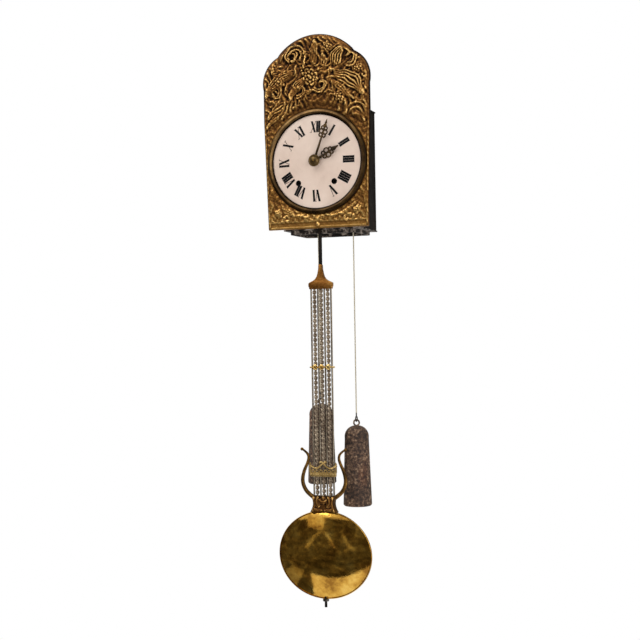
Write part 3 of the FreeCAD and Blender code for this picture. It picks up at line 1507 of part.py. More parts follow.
# Bell and hammer
def make_bell():
    y = -bell_depth
    rim = case_top + bell_gap_above_case
    crown = rim + bell_height

    def profile(radius, rise):
        waist = Vec(radius * bell_waist_share, y, rim + rise * bell_waist_height_share)
        return [Vec(radius, y, rim), waist, Vec(bell_seat_radius, y, rim + rise), Vec(0, y, rim + rise)]

    outer = profile(bell_radius, bell_height)
    inner = profile(bell_radius - bell_wall, bell_height - bell_wall)
    flats = [(outer[2], outer[3]), (outer[3], inner[3]), (inner[3], inner[2])]
    edges = [Part.Arc(*outer[:3]).toShape()] + [Part.LineSegment(a, b).toShape() for a, b in flats]
    edges += [Part.Arc(*reversed(inner[:3])).toShape(), Part.LineSegment(inner[0], outer[0]).toShape()]
    cup = Part.Face(Part.Wire(edges)).revolve(Vec(0, y, 0), Vec(0, 0, 1), 360)
    neck_radius = bell_post_radius / 2
    save("bell", [cup.cut(rod_z(0, y, neck_radius + seat_clearance, rim, crown + overrun))])
    under = crown - bell_wall - bell_seat_gap
    post = rod_z(0, y, bell_post_radius, case_top - plate_thickness, under)
    neck = rod_z(0, y, neck_radius, under, crown + bell_nut_height)
    foot = rod_z(0, y, bell_nut_radius, case_top, case_top + bell_washer_height)
    nut = rod_z(0, y, bell_nut_radius, crown, crown + bell_nut_height)
    nut = nut.cut(rod_z(0, y, neck_radius + seat_clearance, crown, crown + bell_nut_height))
    save("bell_post", [fuse([post, neck, foot]), nut])


def make_hammer():
    # one forged piece: arbor, arm with its head beside the bell, and the tail that the pins lift
    (x0, z0), (x1, z1) = hammer_line()
    y0, y1 = -hammer_arm_depth, -hammer_arm_depth + hammer_arm_thickness
    u, w = polar(0, 0, hammer_arm_half_width, turn_between((x0, z0), (x1, z1)) + 90)
    arm = prism([(x0 - u, z0 - w), (x0 + u, z0 + w), (x1 + u, z1 + w), (x1 - u, z1 - w)], y0, y1)
    head = Part.makeCylinder(hammer_head_radius, 2 * hammer_head_half_length,
                             Vec(x1 - hammer_head_half_length, (y0 + y1) / 2, z1), Vec(1, 0, 0))
    second = train_places(-1)[1]
    tail_front = -hammer_tail_depth
    tail_back = tail_front + hammer_arm_thickness
    tail_length = math.dist((x0, z0), second) - lifting_pin_circle - lifting_pin_radius - hammer_tail_gap
    tail_turn = turn_between((x0, z0), second)
    u, w = polar(0, 0, hammer_arm_half_width, tail_turn + 90)
    tip = polar(x0, z0, tail_length, tail_turn)
    tail = prism([(x0 - u, z0 - w), tip, (x0 + u, z0 + w)], tail_front, tail_back)
    hubs = [rod_y(x0, z0, hammer_hub_radius, *ends) for ends in ((y0, y1), (tail_front, tail_back))]
    save("hammer", [fuse([plain_arbor((x0, z0)), arm, head, tail] + hubs)])


make_plates()
make_skirt()
make_posts()
make_back_sheet()
make_doors()
make_hanger()
make_bars()
make_going_train()
make_strike_train()
for drum_side, train_name in ((1, "going"), (-1, "strike")):
    make_drum(drum_side, train_name)
    save(train_name + "_click", [click(train_places(drum_side)[0])])
make_lines()
make_weights()
make_anchor()
make_suspension()
make_strap()
make_cap()
make_rods()
make_clip()
make_crossbar()
make_lyre()
make_bob()
make_dial_plate()
make_fronton()
make_dial()
make_hands()
make_motion_work()
make_bell()
make_hammer()
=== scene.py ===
# Comtoise clock: looks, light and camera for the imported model
import math

import bpy
import numpy as np
from mathutils import Matrix, Vector


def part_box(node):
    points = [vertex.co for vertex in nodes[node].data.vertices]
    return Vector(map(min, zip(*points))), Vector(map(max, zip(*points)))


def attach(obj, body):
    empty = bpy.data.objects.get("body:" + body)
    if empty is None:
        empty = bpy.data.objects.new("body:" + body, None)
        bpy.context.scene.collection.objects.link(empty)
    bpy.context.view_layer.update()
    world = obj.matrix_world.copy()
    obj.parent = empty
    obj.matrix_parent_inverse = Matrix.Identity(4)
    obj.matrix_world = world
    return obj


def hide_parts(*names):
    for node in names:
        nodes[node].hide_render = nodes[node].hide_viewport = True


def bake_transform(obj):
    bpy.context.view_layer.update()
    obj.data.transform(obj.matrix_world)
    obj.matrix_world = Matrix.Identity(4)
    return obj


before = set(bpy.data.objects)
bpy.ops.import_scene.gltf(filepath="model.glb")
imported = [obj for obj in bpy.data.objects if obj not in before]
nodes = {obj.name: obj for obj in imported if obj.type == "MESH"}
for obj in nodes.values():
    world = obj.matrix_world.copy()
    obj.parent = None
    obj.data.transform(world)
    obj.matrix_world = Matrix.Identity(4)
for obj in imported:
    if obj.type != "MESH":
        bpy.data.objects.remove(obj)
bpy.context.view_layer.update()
dialHeight = -0.160          # dial centre below the hanger's hole
mm = 0.001


# Camera, at the photograph's viewing angle
cameraPlace = {
    "place": (1.025, -2.838, -0.571),
    "turn": 21.0,            # degrees to the clock's right
    "tilt": 0.58,
    "roll": -0.93,
    "lens": 66.8,
}


def setCamera(values):
    data = bpy.data.cameras.new("clockCamera")
    data.lens = values["lens"]
    data.sensor_width = 36
    camera = bpy.data.objects.new("clockCamera", data)
    bpy.context.scene.collection.objects.link(camera)
    turn = Matrix.Rotation(math.radians(values["turn"]), 4, "Z")
    tilt = Matrix.Rotation(math.radians(90 + values["tilt"]), 4, "X")
    roll = Matrix.Rotation(math.radians(values["roll"]), 4, "Z")
    camera.matrix_world = Matrix.Translation(values["place"]) @ turn @ tilt @ roll
    bpy.context.scene.camera = camera


setCamera(cameraPlace)
print("camera set")


# Small makers for materials
def tone(red, green, blue):
    # a screen colour of 0 to 255 as the shader's own light values
    return tuple(((c / 255 + 0.055) / 1.055) ** 2.4 if c > 10 else c / 255 / 12.92
                 for c in (red, green, blue)) + (1,)


def setInput(socket, value):
    # a value that is another node's output is linked
    if isinstance(value, bpy.types.NodeSocket):
        socket.id_data.links.new(value, socket)
    else:
        socket.default_value = value


def addNode(near, kind, settings=None, inOrder=(), **byName):
    # a node in the same tree as near, which is a node or a socket
    node = near.id_data.nodes.new(kind)
    for name, value in (settings or {}).items():
        setattr(node, name, value)
    for socket, value in zip(node.inputs, inOrder):
        setInput(socket, value)
    for name, value in byName.items():
        setInput(node.inputs[name.replace("_", " ")], value)
    return node


def placeOn(near, stretch=(1, 1, 1), shift=(0, 0, 0)):
    spot = addNode(near, "ShaderNodeTexCoord").outputs["Object"]
    return addNode(near, "ShaderNodeMapping", Vector=spot, Location=shift, Scale=stretch).outputs["Vector"]


def cloud(where, scale, detail=4.0, rough=0.6):
    noise = addNode(where, "ShaderNodeTexNoise", Vector=where, Scale=scale, Detail=detail, Roughness=rough)
    return noise.outputs["Fac"]


def spread(source, low, high, fromLow=0.3, fromHigh=0.7):
    span = addNode(source, "ShaderNodeMapRange", Value=source, From_Min=fromLow, From_Max=fromHigh,
                   To_Min=low, To_Max=high)
    return span.outputs["Result"]


def colourBy(source, stops):
    # a stop's colour is a screen tone of three numbers, or four light values
    ramp = addNode(source, "ShaderNodeValToRGB", Fac=source)
    elements = ramp.color_ramp.elements
    while len(elements) < len(stops):
        elements.new(0.5)
    for element, (place, colour) in zip(elements, stops):
        element.position = place
        element.color = tone(*colour) if len(colour) == 3 else colour
    return ramp.outputs["Color"]


def blendColours(share, first, second):
    mix = addNode(share, "ShaderNodeMix", {"data_type": "RGBA"}, Factor=share)
    setInput(mix.inputs[6], first)
    setInput(mix.inputs[7], second)
    return mix.outputs[2]


def mathOf(operation, *values):
    return addNode(values[0], "ShaderNodeMath", {"operation": operation}, values).outputs[0]


def addUp(first, second, share=1.0):
    return mathOf("MULTIPLY_ADD", second, share, first)


finishes = {}


def newFinish(name, metallic, roughness=0.5, stretch=(1, 1, 1), **byName):
    # a new material's shader, and the place on the piece for its patterns
    finishes[name] = bpy.data.materials.new(name)
    finishes[name].use_nodes = True
    shader = finishes[name].node_tree.nodes["Principled BSDF"]
    for word, value in dict(byName, Metallic=metallic, Roughness=roughness).items():
        setInput(shader.inputs[word.replace("_", " ")], value)
    return shader, placeOn(shader, stretch)


def paint(shader, colour, gloss, surface, strength, depth):
    # gloss is a roughness that varies, or None
    setInput(shader.inputs["Base Color"], colour)
    if gloss is not None:
        setInput(shader.inputs["Roughness"], gloss)
    bump = addNode(shader, "ShaderNodeBump", Height=surface, Strength=strength, Distance=depth)
    setInput(shader.inputs["Normal"], bump.outputs["Normal"])


# Plain finishes: patches and grain are clouds per metre, bump and depth raise them
finishValues = {
    "black_iron": dict(
        metallic=0.0, specular=0.16, patches=9, grain=160, roughness=(0.5, 0.75), bump=0.25, depth=0.0012,
        stops=[(0.4, (10, 8, 7)), (0.66, (20, 16, 13)), (0.9, (46, 34, 24))]),
    "forged_steel": dict(
        metallic=0.9, patches=30, grain=300, roughness=(0.34, 0.6), bump=0.3, depth=0.0008,
        stops=[(0.4, (38, 35, 33)), (0.65, (92, 88, 84)), (0.85, (120, 104, 88))]),
    "wheel_brass": dict(
        metallic=1.0, patches=26, grain=260, roughness=(0.2, 0.42), bump=0.12, depth=0.0005,
        stops=[(0.38, (150, 108, 46)), (0.62, (196, 150, 72)), (0.85, (226, 186, 106))]),
    "hand_brass": dict(
        metallic=0.7, patches=55, grain=420, roughness=(0.36, 0.55), bump=0.3, depth=0.0005,
        stops=[(0.36, (22, 16, 11)), (0.62, (50, 38, 24)), (0.88, (98, 74, 42))]),
    "collet_bronze": dict(
        metallic=0.85, patches=60, grain=400, roughness=(0.3, 0.5), bump=0.25, depth=0.0005,
        stops=[(0.36, (52, 38, 22)), (0.62, (94, 74, 44)), (0.88, (140, 114, 72))]),
    "bright_steel": dict(
        metallic=1.0, patches=22, grain=340, roughness=(0.26, 0.5), bump=0.25, depth=0.0005,
        stretch=(1, 1, 0.25), stops=[(0.36, (66, 52, 38)), (0.56, (126, 112, 94)), (0.85, (182, 170, 152))]),
    "cap_brass": dict(
        metallic=0.95, patches=28, grain=240, roughness=(0.34, 0.56), bump=0.22, depth=0.0006,
        stops=[(0.36, (92, 54, 20)), (0.6, (152, 98, 42)), (0.86, (196, 142, 72))]),
    "clip_brass": dict(
        metallic=1.0, patches=40, grain=260, roughness=(0.22, 0.42), bump=0.2, depth=0.0005,
        stops=[(0.36, (176, 128, 54)), (0.56, (236, 190, 104)), (0.86, (252, 226, 160))]),
    "aged_brass": dict(
        metallic=0.9, patches=34, grain=300, roughness=(0.34, 0.58), bump=0.35, depth=0.0008,
        stops=[(0.4, (30, 20, 9)), (0.58, (74, 52, 22)), (0.74, (126, 90, 40)), (0.92, (196, 150, 74))]),
    "chipped_iron": dict(
        metallic=0.4, patches=55, grain=160, roughness=(0.5, 0.75), bump=0.35, depth=0.0008,
        stops=[(0.5, (24, 21, 20)), (0.66, (44, 38, 35)), (0.72, (120, 108, 98)), (0.86, (196, 184, 172))]),
    "bar_brass": dict(
        metallic=0.85, patches=40, grain=260, roughness=(0.34, 0.55), bump=0.3, depth=0.0007,
        stops=[(0.38, (116, 92, 52)), (0.58, (180, 148, 90)), (0.86, (226, 196, 134))]),
    "twisted_steel": dict(
        metallic=0.7, patches=30, grain=320, roughness=(0.42, 0.62), bump=0.25, depth=0.0005,
        stops=[(0.38, (76, 62, 49)), (0.58, (126, 109, 91)), (0.86, (178, 162, 140))]),
    "bell_metal": dict(
        metallic=1.0, patches=18, grain=300, roughness=(0.2, 0.4), bump=0.12, depth=0.0005,
        stops=[(0.36, (120, 92, 44)), (0.6, (176, 142, 78)), (0.86, (208, 178, 112))]),
}


def plainFinish(name, values):
    shader, where = newFinish(name, values["metallic"], stretch=values.get("stretch", (1, 1, 1)),
                              Specular_IOR_Level=values.get("specular", 0.5))
    wide = cloud(where, values["patches"], 5.0, 0.65)
    fine = cloud(where, values["grain"], 3.0)
    gloss = spread(cloud(where, values["patches"] * 1.7), *values["roughness"])
    paint(shader, colourBy(addUp(wide, fine, 0.35), values["stops"]), gloss, addUp(fine, wide, 0.5),
          values["bump"], values["depth"])


polishedValues = {
    "stops": [(0.36, (150, 104, 40)), (0.5, (206, 156, 66)), (0.62, (228, 182, 88)), (0.8, (240, 204, 118))],
    "roughness": (0.04, 0.12),
    "dents": 13,             # how many soft hollows per metre
    "dentDepth": 0.004,
}


def polishedBrass(values):
    shader, where = newFinish("polished_brass", 1.0, 0.1)
    stains = cloud(where, 22, 6.0, 0.7)
    rubs = cloud(placeOn(shader, (1, 1, 9)), 120, 3.0)
    gloss = spread(addUp(stains, rubs, 0.4), *values["roughness"], 0.4, 1.0)
    hollows = addUp(cloud(where, values["dents"], 1.0, 0.4), cloud(where, 60, 4.0, 0.65), 0.09)
    surface = addUp(hollows, rubs, 0.01)
    paint(shader, colourBy(stains, values["stops"]), gloss, surface, 0.5, values["dentDepth"])


def stampedBrass():
    # wear runs from dark patina and painted shade in the hollows (0) to rubbed ridges (1)
    shader, where = newFinish("stamped_brass", 0.9, 0.4)
    wear = addNode(shader, "ShaderNodeAttribute", {"attribute_name": "wear"}).outputs["Fac"]
    grain = cloud(where, 240, 4.0, 0.65)
    wornAndShaded = addUp(wear, addUp(cloud(where, 14, 6.0, 0.7), grain, 0.6), 0.34)
    # the dark stops are patina together with painted shade in the hollows
    stops = [(0.34, (16, 9, 5)), (0.5, (60, 36, 17)), (0.68, (118, 77, 36)), (0.88, (170, 122, 60)),
             (1.0, (228, 184, 110))]
    dots = addNode(shader, "ShaderNodeTexVoronoi", {"feature": "SMOOTH_F1"}, Vector=where, Scale=300.0)
    paint(shader, colourBy(wornAndShaded, stops), spread(wornAndShaded, 0.66, 0.36, 0.35, 1.0),
          addUp(grain, dots.outputs["Distance"], 0.5), 0.35, 0.0008)


def bezelBronze():
    # a turned ring, with painted shade: dark in the groove next to the enamel and under its outer edge
    shader, where = newFinish("bezel_bronze", 0.95, 0.35)
    centred = placeOn(shader, (1, 0, 1), (0, 0, -dialHeight))
    out = addNode(shader, "ShaderNodeVectorMath", {"operation": "LENGTH"}, [centred]).outputs["Value"]
    paintedShadeSteps = ((0.0, 0), (0.16, 0), (0.3, 0.75), (0.62, 1), (0.84, 0.6), (0.95, 0.1))
    across = spread(out, 0.0, 1.0, 0.1125, 0.1265)
    line = colourBy(across, [(at, (grey, grey, grey, 1)) for at, grey in paintedShadeSteps])
    patches = cloud(where, 24, 5.0, 0.65)
    bronze = colourBy(addUp(patches, cloud(where, 300), 0.3),
                      [(0.4, (52, 37, 21)), (0.62, (98, 73, 43)), (0.85, (150, 118, 72))])
    # painted shade: the dark tone goes where the steps are low, next to the enamel and under the outer edge
    colour = blendColours(line, tone(22, 14, 7), bronze)
    paint(shader, colour, spread(patches, 0.24, 0.44), patches, 0.2, 0.0008)


def drumFinish():
    # brass barrel behind, and the dark steel winding square in front
    shader, where = newFinish("drum_brass", 0.95, 0.4)
    depth = addNode(shader, "ShaderNodeSeparateXYZ", Vector=where).outputs["Y"]
    stains = cloud(where, 30, 5.0, 0.65)
    brass = colourBy(stains, [(0.36, (128, 90, 40)), (0.6, (184, 140, 68)), (0.85, (214, 174, 98))])
    steel = colourBy(stains, [(0.36, (10, 9, 9)), (0.85, (34, 31, 29))])
    colour = blendColours(spread(depth, 0.0, 1.0, -0.141, -0.139), steel, brass)
    paint(shader, colour, spread(stains, 0.34, 0.55), cloud(where, 280), 0.2, 0.0005)


def glazedEnamel():
    shader, where = newFinish("enamel", 0.0, 0.3, Coat_Weight=0.12, Coat_Roughness=0.1)
    clouds = cloud(where, 14, 5.0)
    specks = cloud(where, 520, 2.0, 0.5)
    stops = [(0.3, (204, 178, 162)), (0.55, (220, 197, 181)), (0.85, (230, 209, 194))]
    paint(shader, colourBy(addUp(clouds, specks, 0.16), stops), spread(clouds, 0.34, 0.5),
          addUp(clouds, specks, 0.04), 0.15, 0.0012)


def castIron():
    shader, where = newFinish("cast_weight", 0.1, 0.8)
    wide = cloud(where, 15, 6.0, 0.72)
    pits = cloud(where, 130, 5.0, 0.75)
    skin = colourBy(addUp(pits, wide, 0.4), [(0.54, (26, 18, 14)), (0.64, (62, 45, 35)),
                                             (0.74, (104, 79, 62)), (0.86, (184, 154, 124))])
    rust = colourBy(pits, [(0.36, (62, 28, 16)), (0.62, (138, 76, 40))])
    rusty = spread(cloud(placeOn(shader, (1, 1, 0.45)), 19), 0.0, 0.6, 0.54, 0.74)
    paint(shader, blendColours(rusty, skin, rust), spread(pits, 0.6, 0.9), addUp(pits, wide, 0.8), 0.9, 0.004)


def braidedCord():
    # two crossing lays of thread, from the cord's own map: round it across, metres along it upwards
    shader, where = newFinish("line_cord", 0.0, 0.85)
    spot = addNode(shader, "ShaderNodeUVMap").outputs["UV"]
    lays = []
    for slant in (1.0, -1.0):
        slanted = addNode(shader, "ShaderNodeMapping", Vector=spot, Scale=(4.0, 520.0 * slant, 1.0))
        wave = addNode(shader, "ShaderNodeTexWave", {"bands_direction": "DIAGONAL"}, Scale=0.32,
                       Vector=slanted.outputs["Vector"])
        lays.append(wave.outputs["Fac"])
    weave = mathOf("MAXIMUM", *lays)
    stops = [(0.25, (120, 104, 80)), (0.6, (190, 176, 148)), (0.95, (222, 212, 188))]
    paint(shader, colourBy(addUp(weave, cloud(where, 40), 0.3), stops), None, weave, 0.8, 0.0006)


def numeralInk():
    shader, where = newFinish("numeral_ink", 0.0, Specular_IOR_Level=0.2)
    wear = cloud(where, 260)
    stops = [(0.3, (7, 6, 8)), (0.66, (14, 13, 15)), (0.86, (44, 38, 38))]
    paint(shader, colourBy(wear, stops), None, wear, 0.1, 0.0003)


for name, values in finishValues.items():
    plainFinish(name, values)
polishedBrass(polishedValues)
for makeFinish in (stampedBrass, bezelBronze, drumFinish, glazedEnamel, castIron, braidedCord, numeralInk):
    makeFinish()

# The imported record's slot of each node names its finish, and these nodes have one of their own
ownFinish = {
    "case_foot_skirt": "chipped_iron",
    "cage_bottom_plate": "chipped_iron",
    "dial_bezel": "bezel_bronze",
    "rating_nut": "forged_steel",
    "bob_rod": "black_iron",
    "going_drum": "drum_brass",
    "strike_drum": "drum_brass",
}
for name, node in nodes.items():
    for spot in node.material_slots:
        slotName = spot.material.name.split(".")[0]
        spot.material = finishes[ownFinish.get(name, slotName)]
print("finishes made:", len(finishes))


# Helpers for pieces
def choose(*pieces):
    # only these are selected, and the first is active
    if bpy.context.object and bpy.context.object.mode != "OBJECT":
        bpy.ops.object.mode_set(mode="OBJECT")
    bpy.ops.object.select_all(action="DESELECT")
    for piece in reversed(pieces):
        piece.select_set(True)
        bpy.context.view_layer.objects.active = piece


def newObject(name, points, edges, faces):
    mesh = bpy.data.meshes.new(name)
    mesh.from_pydata([tuple(p) for p in points], edges, [tuple(f) for f in faces])
    piece = bpy.data.objects.new(name, mesh)
    bpy.context.scene.collection.objects.link(piece)
    return piece


def finishPiece(piece, finish, body, smooth=None, stands=None):
    # its smoothing, its finish, the body it rides on and the CAD node that it stands for
    choose(piece)
    if smooth is not None:
        bpy.ops.object.shade_smooth_by_angle(angle=math.radians(smooth))
    piece.data.materials.clear()
    piece.data.materials.append(finishes[finish])
    if body:
        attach(piece, body)
    if stands:
        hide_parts(stands)
    choose()


def editAll(piece):
    choose(piece)
    bpy.ops.object.mode_set(mode="EDIT")
    bpy.ops.mesh.select_mode(type="VERT")
    bpy.ops.mesh.select_all(action="SELECT")


def recalculate(piece, merge=0.00001):
    editAll(piece)
    bpy.ops.mesh.remove_doubles(threshold=merge)
    bpy.ops.mesh.normals_make_consistent(inside=False)
    bpy.ops.object.mode_set(mode="OBJECT")


def thicken(piece, thickness):
    # a wall behind the sheet's face
    choose(piece)
    wall = piece.modifiers.new("wall", "SOLIDIFY")
    wall.thickness = thickness * mm
    wall.offset = -1
    bpy.ops.object.modifier_apply(modifier="wall")


def bevelled(piece, width):
    choose(piece)
    edge = piece.modifiers.new("edge", "BEVEL")
    edge.width = width * mm
    edge.segments = 2
    edge.limit_method = "ANGLE"
    bpy.ops.object.modifier_apply(modifier="edge")
    return piece


def turned(name, profile, centre, way, steps):
    # profile: (out, along) in mm, spun round the axis that way points along; closed at both ends
    spots = [(Vector(centre) + Vector((r, 0, 0)) + Vector(way) * along) * mm for r, along in profile]
    piece = newObject(name, spots, [(n, n + 1) for n in range(len(spots) - 1)], [])
    editAll(piece)
    bpy.ops.mesh.spin(steps=steps, angle=2 * math.pi, center=Vector(centre) * mm, axis=way)
    recalculate(piece, 0.00002)
    return piece


def plate(name, outline, back, thickness, bevel):
    # a flat plate with the outline's points (x, z) in mm, its face at back + thickness in front of the wall
    count = len(outline)
    points = [(x * mm, -depth * mm, z * mm) for depth in (back, back + thickness) for x, z in outline]
    faces = [tuple(range(count)), tuple(reversed(range(count, 2 * count)))]
    faces += [(n, n + count, (n + 1) % count + count, (n + 1) % count) for n in range(count)]
    piece = newObject(name, points, [], faces)
    recalculate(piece)
    return bevelled(piece, bevel)


def ballAt(place, radius, segments, rings):
    bpy.ops.mesh.primitive_uv_sphere_add(segments=segments, ring_count=rings, radius=radius * mm,
                                         location=[c * mm for c in place])
    return bpy.context.object


def bothSides(right):
    # an outline's right side, from the top down, and then its left side
    return right + [(-x, z) for x, z in reversed(right) if x]


def joined(name, pieces):
    choose(*pieces)
    bpy.ops.object.join()
    whole = bpy.context.object
    whole.name = name
    bpy.ops.object.transform_apply(location=True, rotation=True, scale=True)
    return whole


# the wear attribute holds patina and rubbed ridges, and painted shade in the hollows
def markWearAndShade(piece, wear):
    mark = piece.data.attributes.new("wear", "FLOAT", "POINT")
    mark.data.foreach_set("value", np.array(wear, np.float32))


# Cords: the winding on each drum, and the straight line down to each hook
lineValues = {
    "diameter": 0.003,
    "drumOut": 46 * mm,          # the drum's axis from the clock's middle
    "drumDown": 51 * mm,         # and below the dial's centre
    "turns": 8,
    "pointsPerTurn": 12,
    "pitch": 3.6 * mm,
    "circle": 16.5 * mm,         # from the drum's axis to the line's middle
    "cornerShare": 0.52,         # how far the route goes out, because its curve cuts the corners
    "startDepth": 121.6 * mm,
    "lead": 3.0 * mm,
    "sides": 10,
    "runSteps": 24,
}


def smoothLine(points):
    # the points of a NURBS spline that has the route's points as its control points
    curve = bpy.data.curves.new("route", "CURVE")
    curve.dimensions = "3D"
    curve.resolution_u = 4
    spline = curve.splines.new("NURBS")
    spline.points.add(len(points) - 1)
    for spot, point in zip(spline.points, points):
        spot.co = (*point, 1)
    spline.order_u = 3
    spline.use_endpoint_u = True
    holder = bpy.data.objects.new("route", curve)
    bpy.context.scene.collection.objects.link(holder)
    bpy.context.view_layer.update()
    found = [v.co.copy() for v in bpy.data.meshes.new_from_object(holder).vertices]
    bpy.data.objects.remove(holder)
    return found


def cordTube(name, path, radius, sides, finish):
    # radius is a number, or a rule that gives it for each share of the length
    points, faces = [], []
    across = Vector((0, 1, 0))
    lengths = [0.0]
    for a, b in zip(path, path[1:]):
        lengths.append(lengths[-1] + (b - a).length)
    for index, spot in enumerate(path):
        before, after = path[max(index - 1, 0)], path[min(index + 1, len(path) - 1)]
        way = (after - before).normalized()
        across = (across - way * across.dot(way)).normalized()
        other = way.cross(across)
        reach = radius(lengths[index] / lengths[-1]) if callable(radius) else radius
        for side in range(sides):
            turn = 2 * math.pi * side / sides
            points.append(spot + reach * (math.cos(turn) * across + math.sin(turn) * other))
    last = (len(path) - 1) * sides
    for ring in range(0, last, sides):
        for side in range(sides):
            a, b = ring + side, ring + (side + 1) % sides
            faces.append((a, b, b + sides, a + sides))
    faces += [tuple(reversed(range(sides))), tuple(range(last, last + sides))]
    piece = newObject(name, points, [], faces)
    finishPiece(piece, finish, None, 60)
    layer = piece.data.uv_layers.new(name="UVMap")
    for face in piece.data.polygons:
        for corner, vertex in zip(face.loop_indices, face.vertices):
            ring, side = divmod(vertex, sides)
            if side == 0 and any(v % sides == sides - 1 for v in face.vertices):
                side = sides
            layer.data[corner].uv = (side / sides, lengths[ring])
    return piece


def windingRoute(x, z, values):
    grow = 2 / (1 + math.cos(2 * math.pi / values["pointsPerTurn"]))
    circle = values["circle"] * (1 + (grow - 1) * values["cornerShare"])
    start = Vector((x + values["circle"], -values["startDepth"], z))
    end = start + Vector((0, values["turns"] * values["pitch"], 0))
    route = [start + Vector((0, 0, -values["lead"])), start]
    for n in range(1, values["turns"] * values["pointsPerTurn"]):
        turn = -2 * math.pi * n / values["pointsPerTurn"]
        step = values["pitch"] * n / values["pointsPerTurn"]
        route.append(Vector((x + circle * math.cos(turn), start.y + step, z + circle * math.sin(turn))))
    return route + [end, end + Vector((0, 0, -values["lead"]))]


def cordPiece(name, path, node, values):
    piece = cordTube(name, path, values["diameter"] / 2, values["sides"], "line_cord")
    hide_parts(node)
    return piece


def makeCords(values):
    for side, name in ((1, "going"), (-1, "strike")):
        x, z = side * values["drumOut"], dialHeight - values["drumDown"]
        path = smoothLine(windingRoute(x, z, values))
        winding = cordPiece(name + "DrumCord", path, name + "_line_winding", values)
        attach(winding, name + "_barrel")
        low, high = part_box(name + "_weight_line")
        top = Vector((x + values["circle"], path[-1].y, high.z))
        foot = Vector((top.x, top.y, low.z))
        steps = values["runSteps"]
        run = [top.lerp(foot, n / steps) for n in range(steps + 1)]
        line = cordPiece(name + "WeightCord", run, name + "_weight_line", values)
        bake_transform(line)


makeCords(lineValues)


# Fronton: one stamped sheet, its relief worked out over a fine net of points
frontonValues = {
    "cell": 1.5,             # mm between the net's points
    "across": 139.5,         # how far the net goes to each side
    "foot": -162.0,
    "head": 309.0,
    "sheetDepth": 172.0,
    "wall": 0.9,
    "returnEdge": 7.0,       # how far the sheet's edge turns back
    "rimWidth": 2.6,
    "rimRise": 3.2,
    "fieldMargin": 7.0,
    "fieldRise": 1.5,
    "holeRadius": 118.0,
    "waver": 2.4,            # mm that the forms stray from their drawn lines
    "seed": 7,
    # wear also carries painted shade: it darkens the hollows as well as marking patina and rubbed ridges
    "wear": (0.41, 0.22, 0.06),  # on the flat, and for each mm above the near and the wider ground
}
# flowers: x, z, radius, rise, petals, in mm from the dial's centre
flowers = [
    (-14, 206, 23, 13, 8), (64, 151, 16, 11.5, 6), (-96, 200, 18, 11, 7), (108, 214, 14, 10.5, 7),
    (-28, 262, 15, 11, 7), (30, 270, 15, 12, 7), (-104, 148, 12, 9, 6), (101, -121, 11, 5.5, 6),
    (-101, -121, 11, 5.5, 6)]
# curls: x, z, radius, rise, first turn in degrees, turns
curls = [
    (15, 183, 16, 12.5, 200, 0.85), (-56, 254, 29, 12.5, 330, 0.7), (-58, 252, 15, 11, 130, -0.7),
    (-102, 172, 16, 9.5, 90, -0.8), (92, 244, 19, 11, 240, 0.75), (116, 142, 13, 8, 110, 0.9),
    (-40, 172, 16, 10, 250, 0.7), (121, 176, 8, 8, 60, 0.9), (122, 198, 8, 8, 90, -0.8),
    (78, -136, 9, 4.5, 20, 0.9), (-78, -136, 9, 4.5, 160, -0.9)]
# leaves: start, bend and tip, half width, rise, ribs, notches
leaves = [
    ((54, 226), (52, 250), (70, 270), 20, 13.5, 3, 1), ((46, 206), (92, 208), (124, 150), 21, 12.5, 3, 1),
    ((30, 192), (66, 184), (100, 140), 11, 10.5, 2, 2), ((-10, 204), (-44, 198), (-66, 148), 15, 12, 3, 2),
    ((-34, 150), (-30, 166), (-6, 176), 9, 9.5, 2, 3), ((-58, 218), (-104, 216), (-128, 160), 17, 11, 3, 3),
    ((-66, 150), (-96, 148), (-127, 108), 13, 9, 2, 3), ((2, 236), (-8, 262), (0, 294), 14, 12.5, 3, 2),
    ((22, 214), (34, 236), (18, 256), 11, 11, 2, 2), ((20, 210), (40, 222), (50, 212), 8, 10, 1, 2),
    ((-40, 232), (-24, 244), (-30, 226), 9, 10, 1, 2), ((-84, 224), (-108, 236), (-112, 216), 10, 10, 2, 2),
    ((-90, 250), (-84, 262), (-66, 284), 8, 9.5, 1, 2), ((58, 278), (76, 272), (88, 256), 8, 9.5, 1, 2),
    ((84, 126), (106, 118), (127, 86), 9, 7, 2, 3), ((-84, 126), (-106, 118), (-127, 84), 9, 7, 2, 3),
    ((20, 158), (34, 170), (50, 162), 7, 8, 1, 2)]
# these stand on both sides of the dial
pairedLeaves = [
    ((112, -64), (128, -92), (121, -120), 8, 4, 2, 3), ((94, -106), (76, -120), (56, -130), 8, 4.5, 2, 3),
    ((60, -126), (42, -138), (22, -131), 5, 4, 1, 2)]
# the sheet's edge, as points where its arcs start, bend and end, and the corners below them
headArc = ((-93, 267), (0, 307), (93, 267))
shoulderArc = ((98, 260), (124, 239), (136.5, 181))
sideCorners = [(136.5, 104), (134.5, 40), (131.5, -60), (128.5, -161), (0, -161)]


def mirrored(leaf):
    return tuple((-x, z) for x, z in leaf[:3]) + leaf[3:]


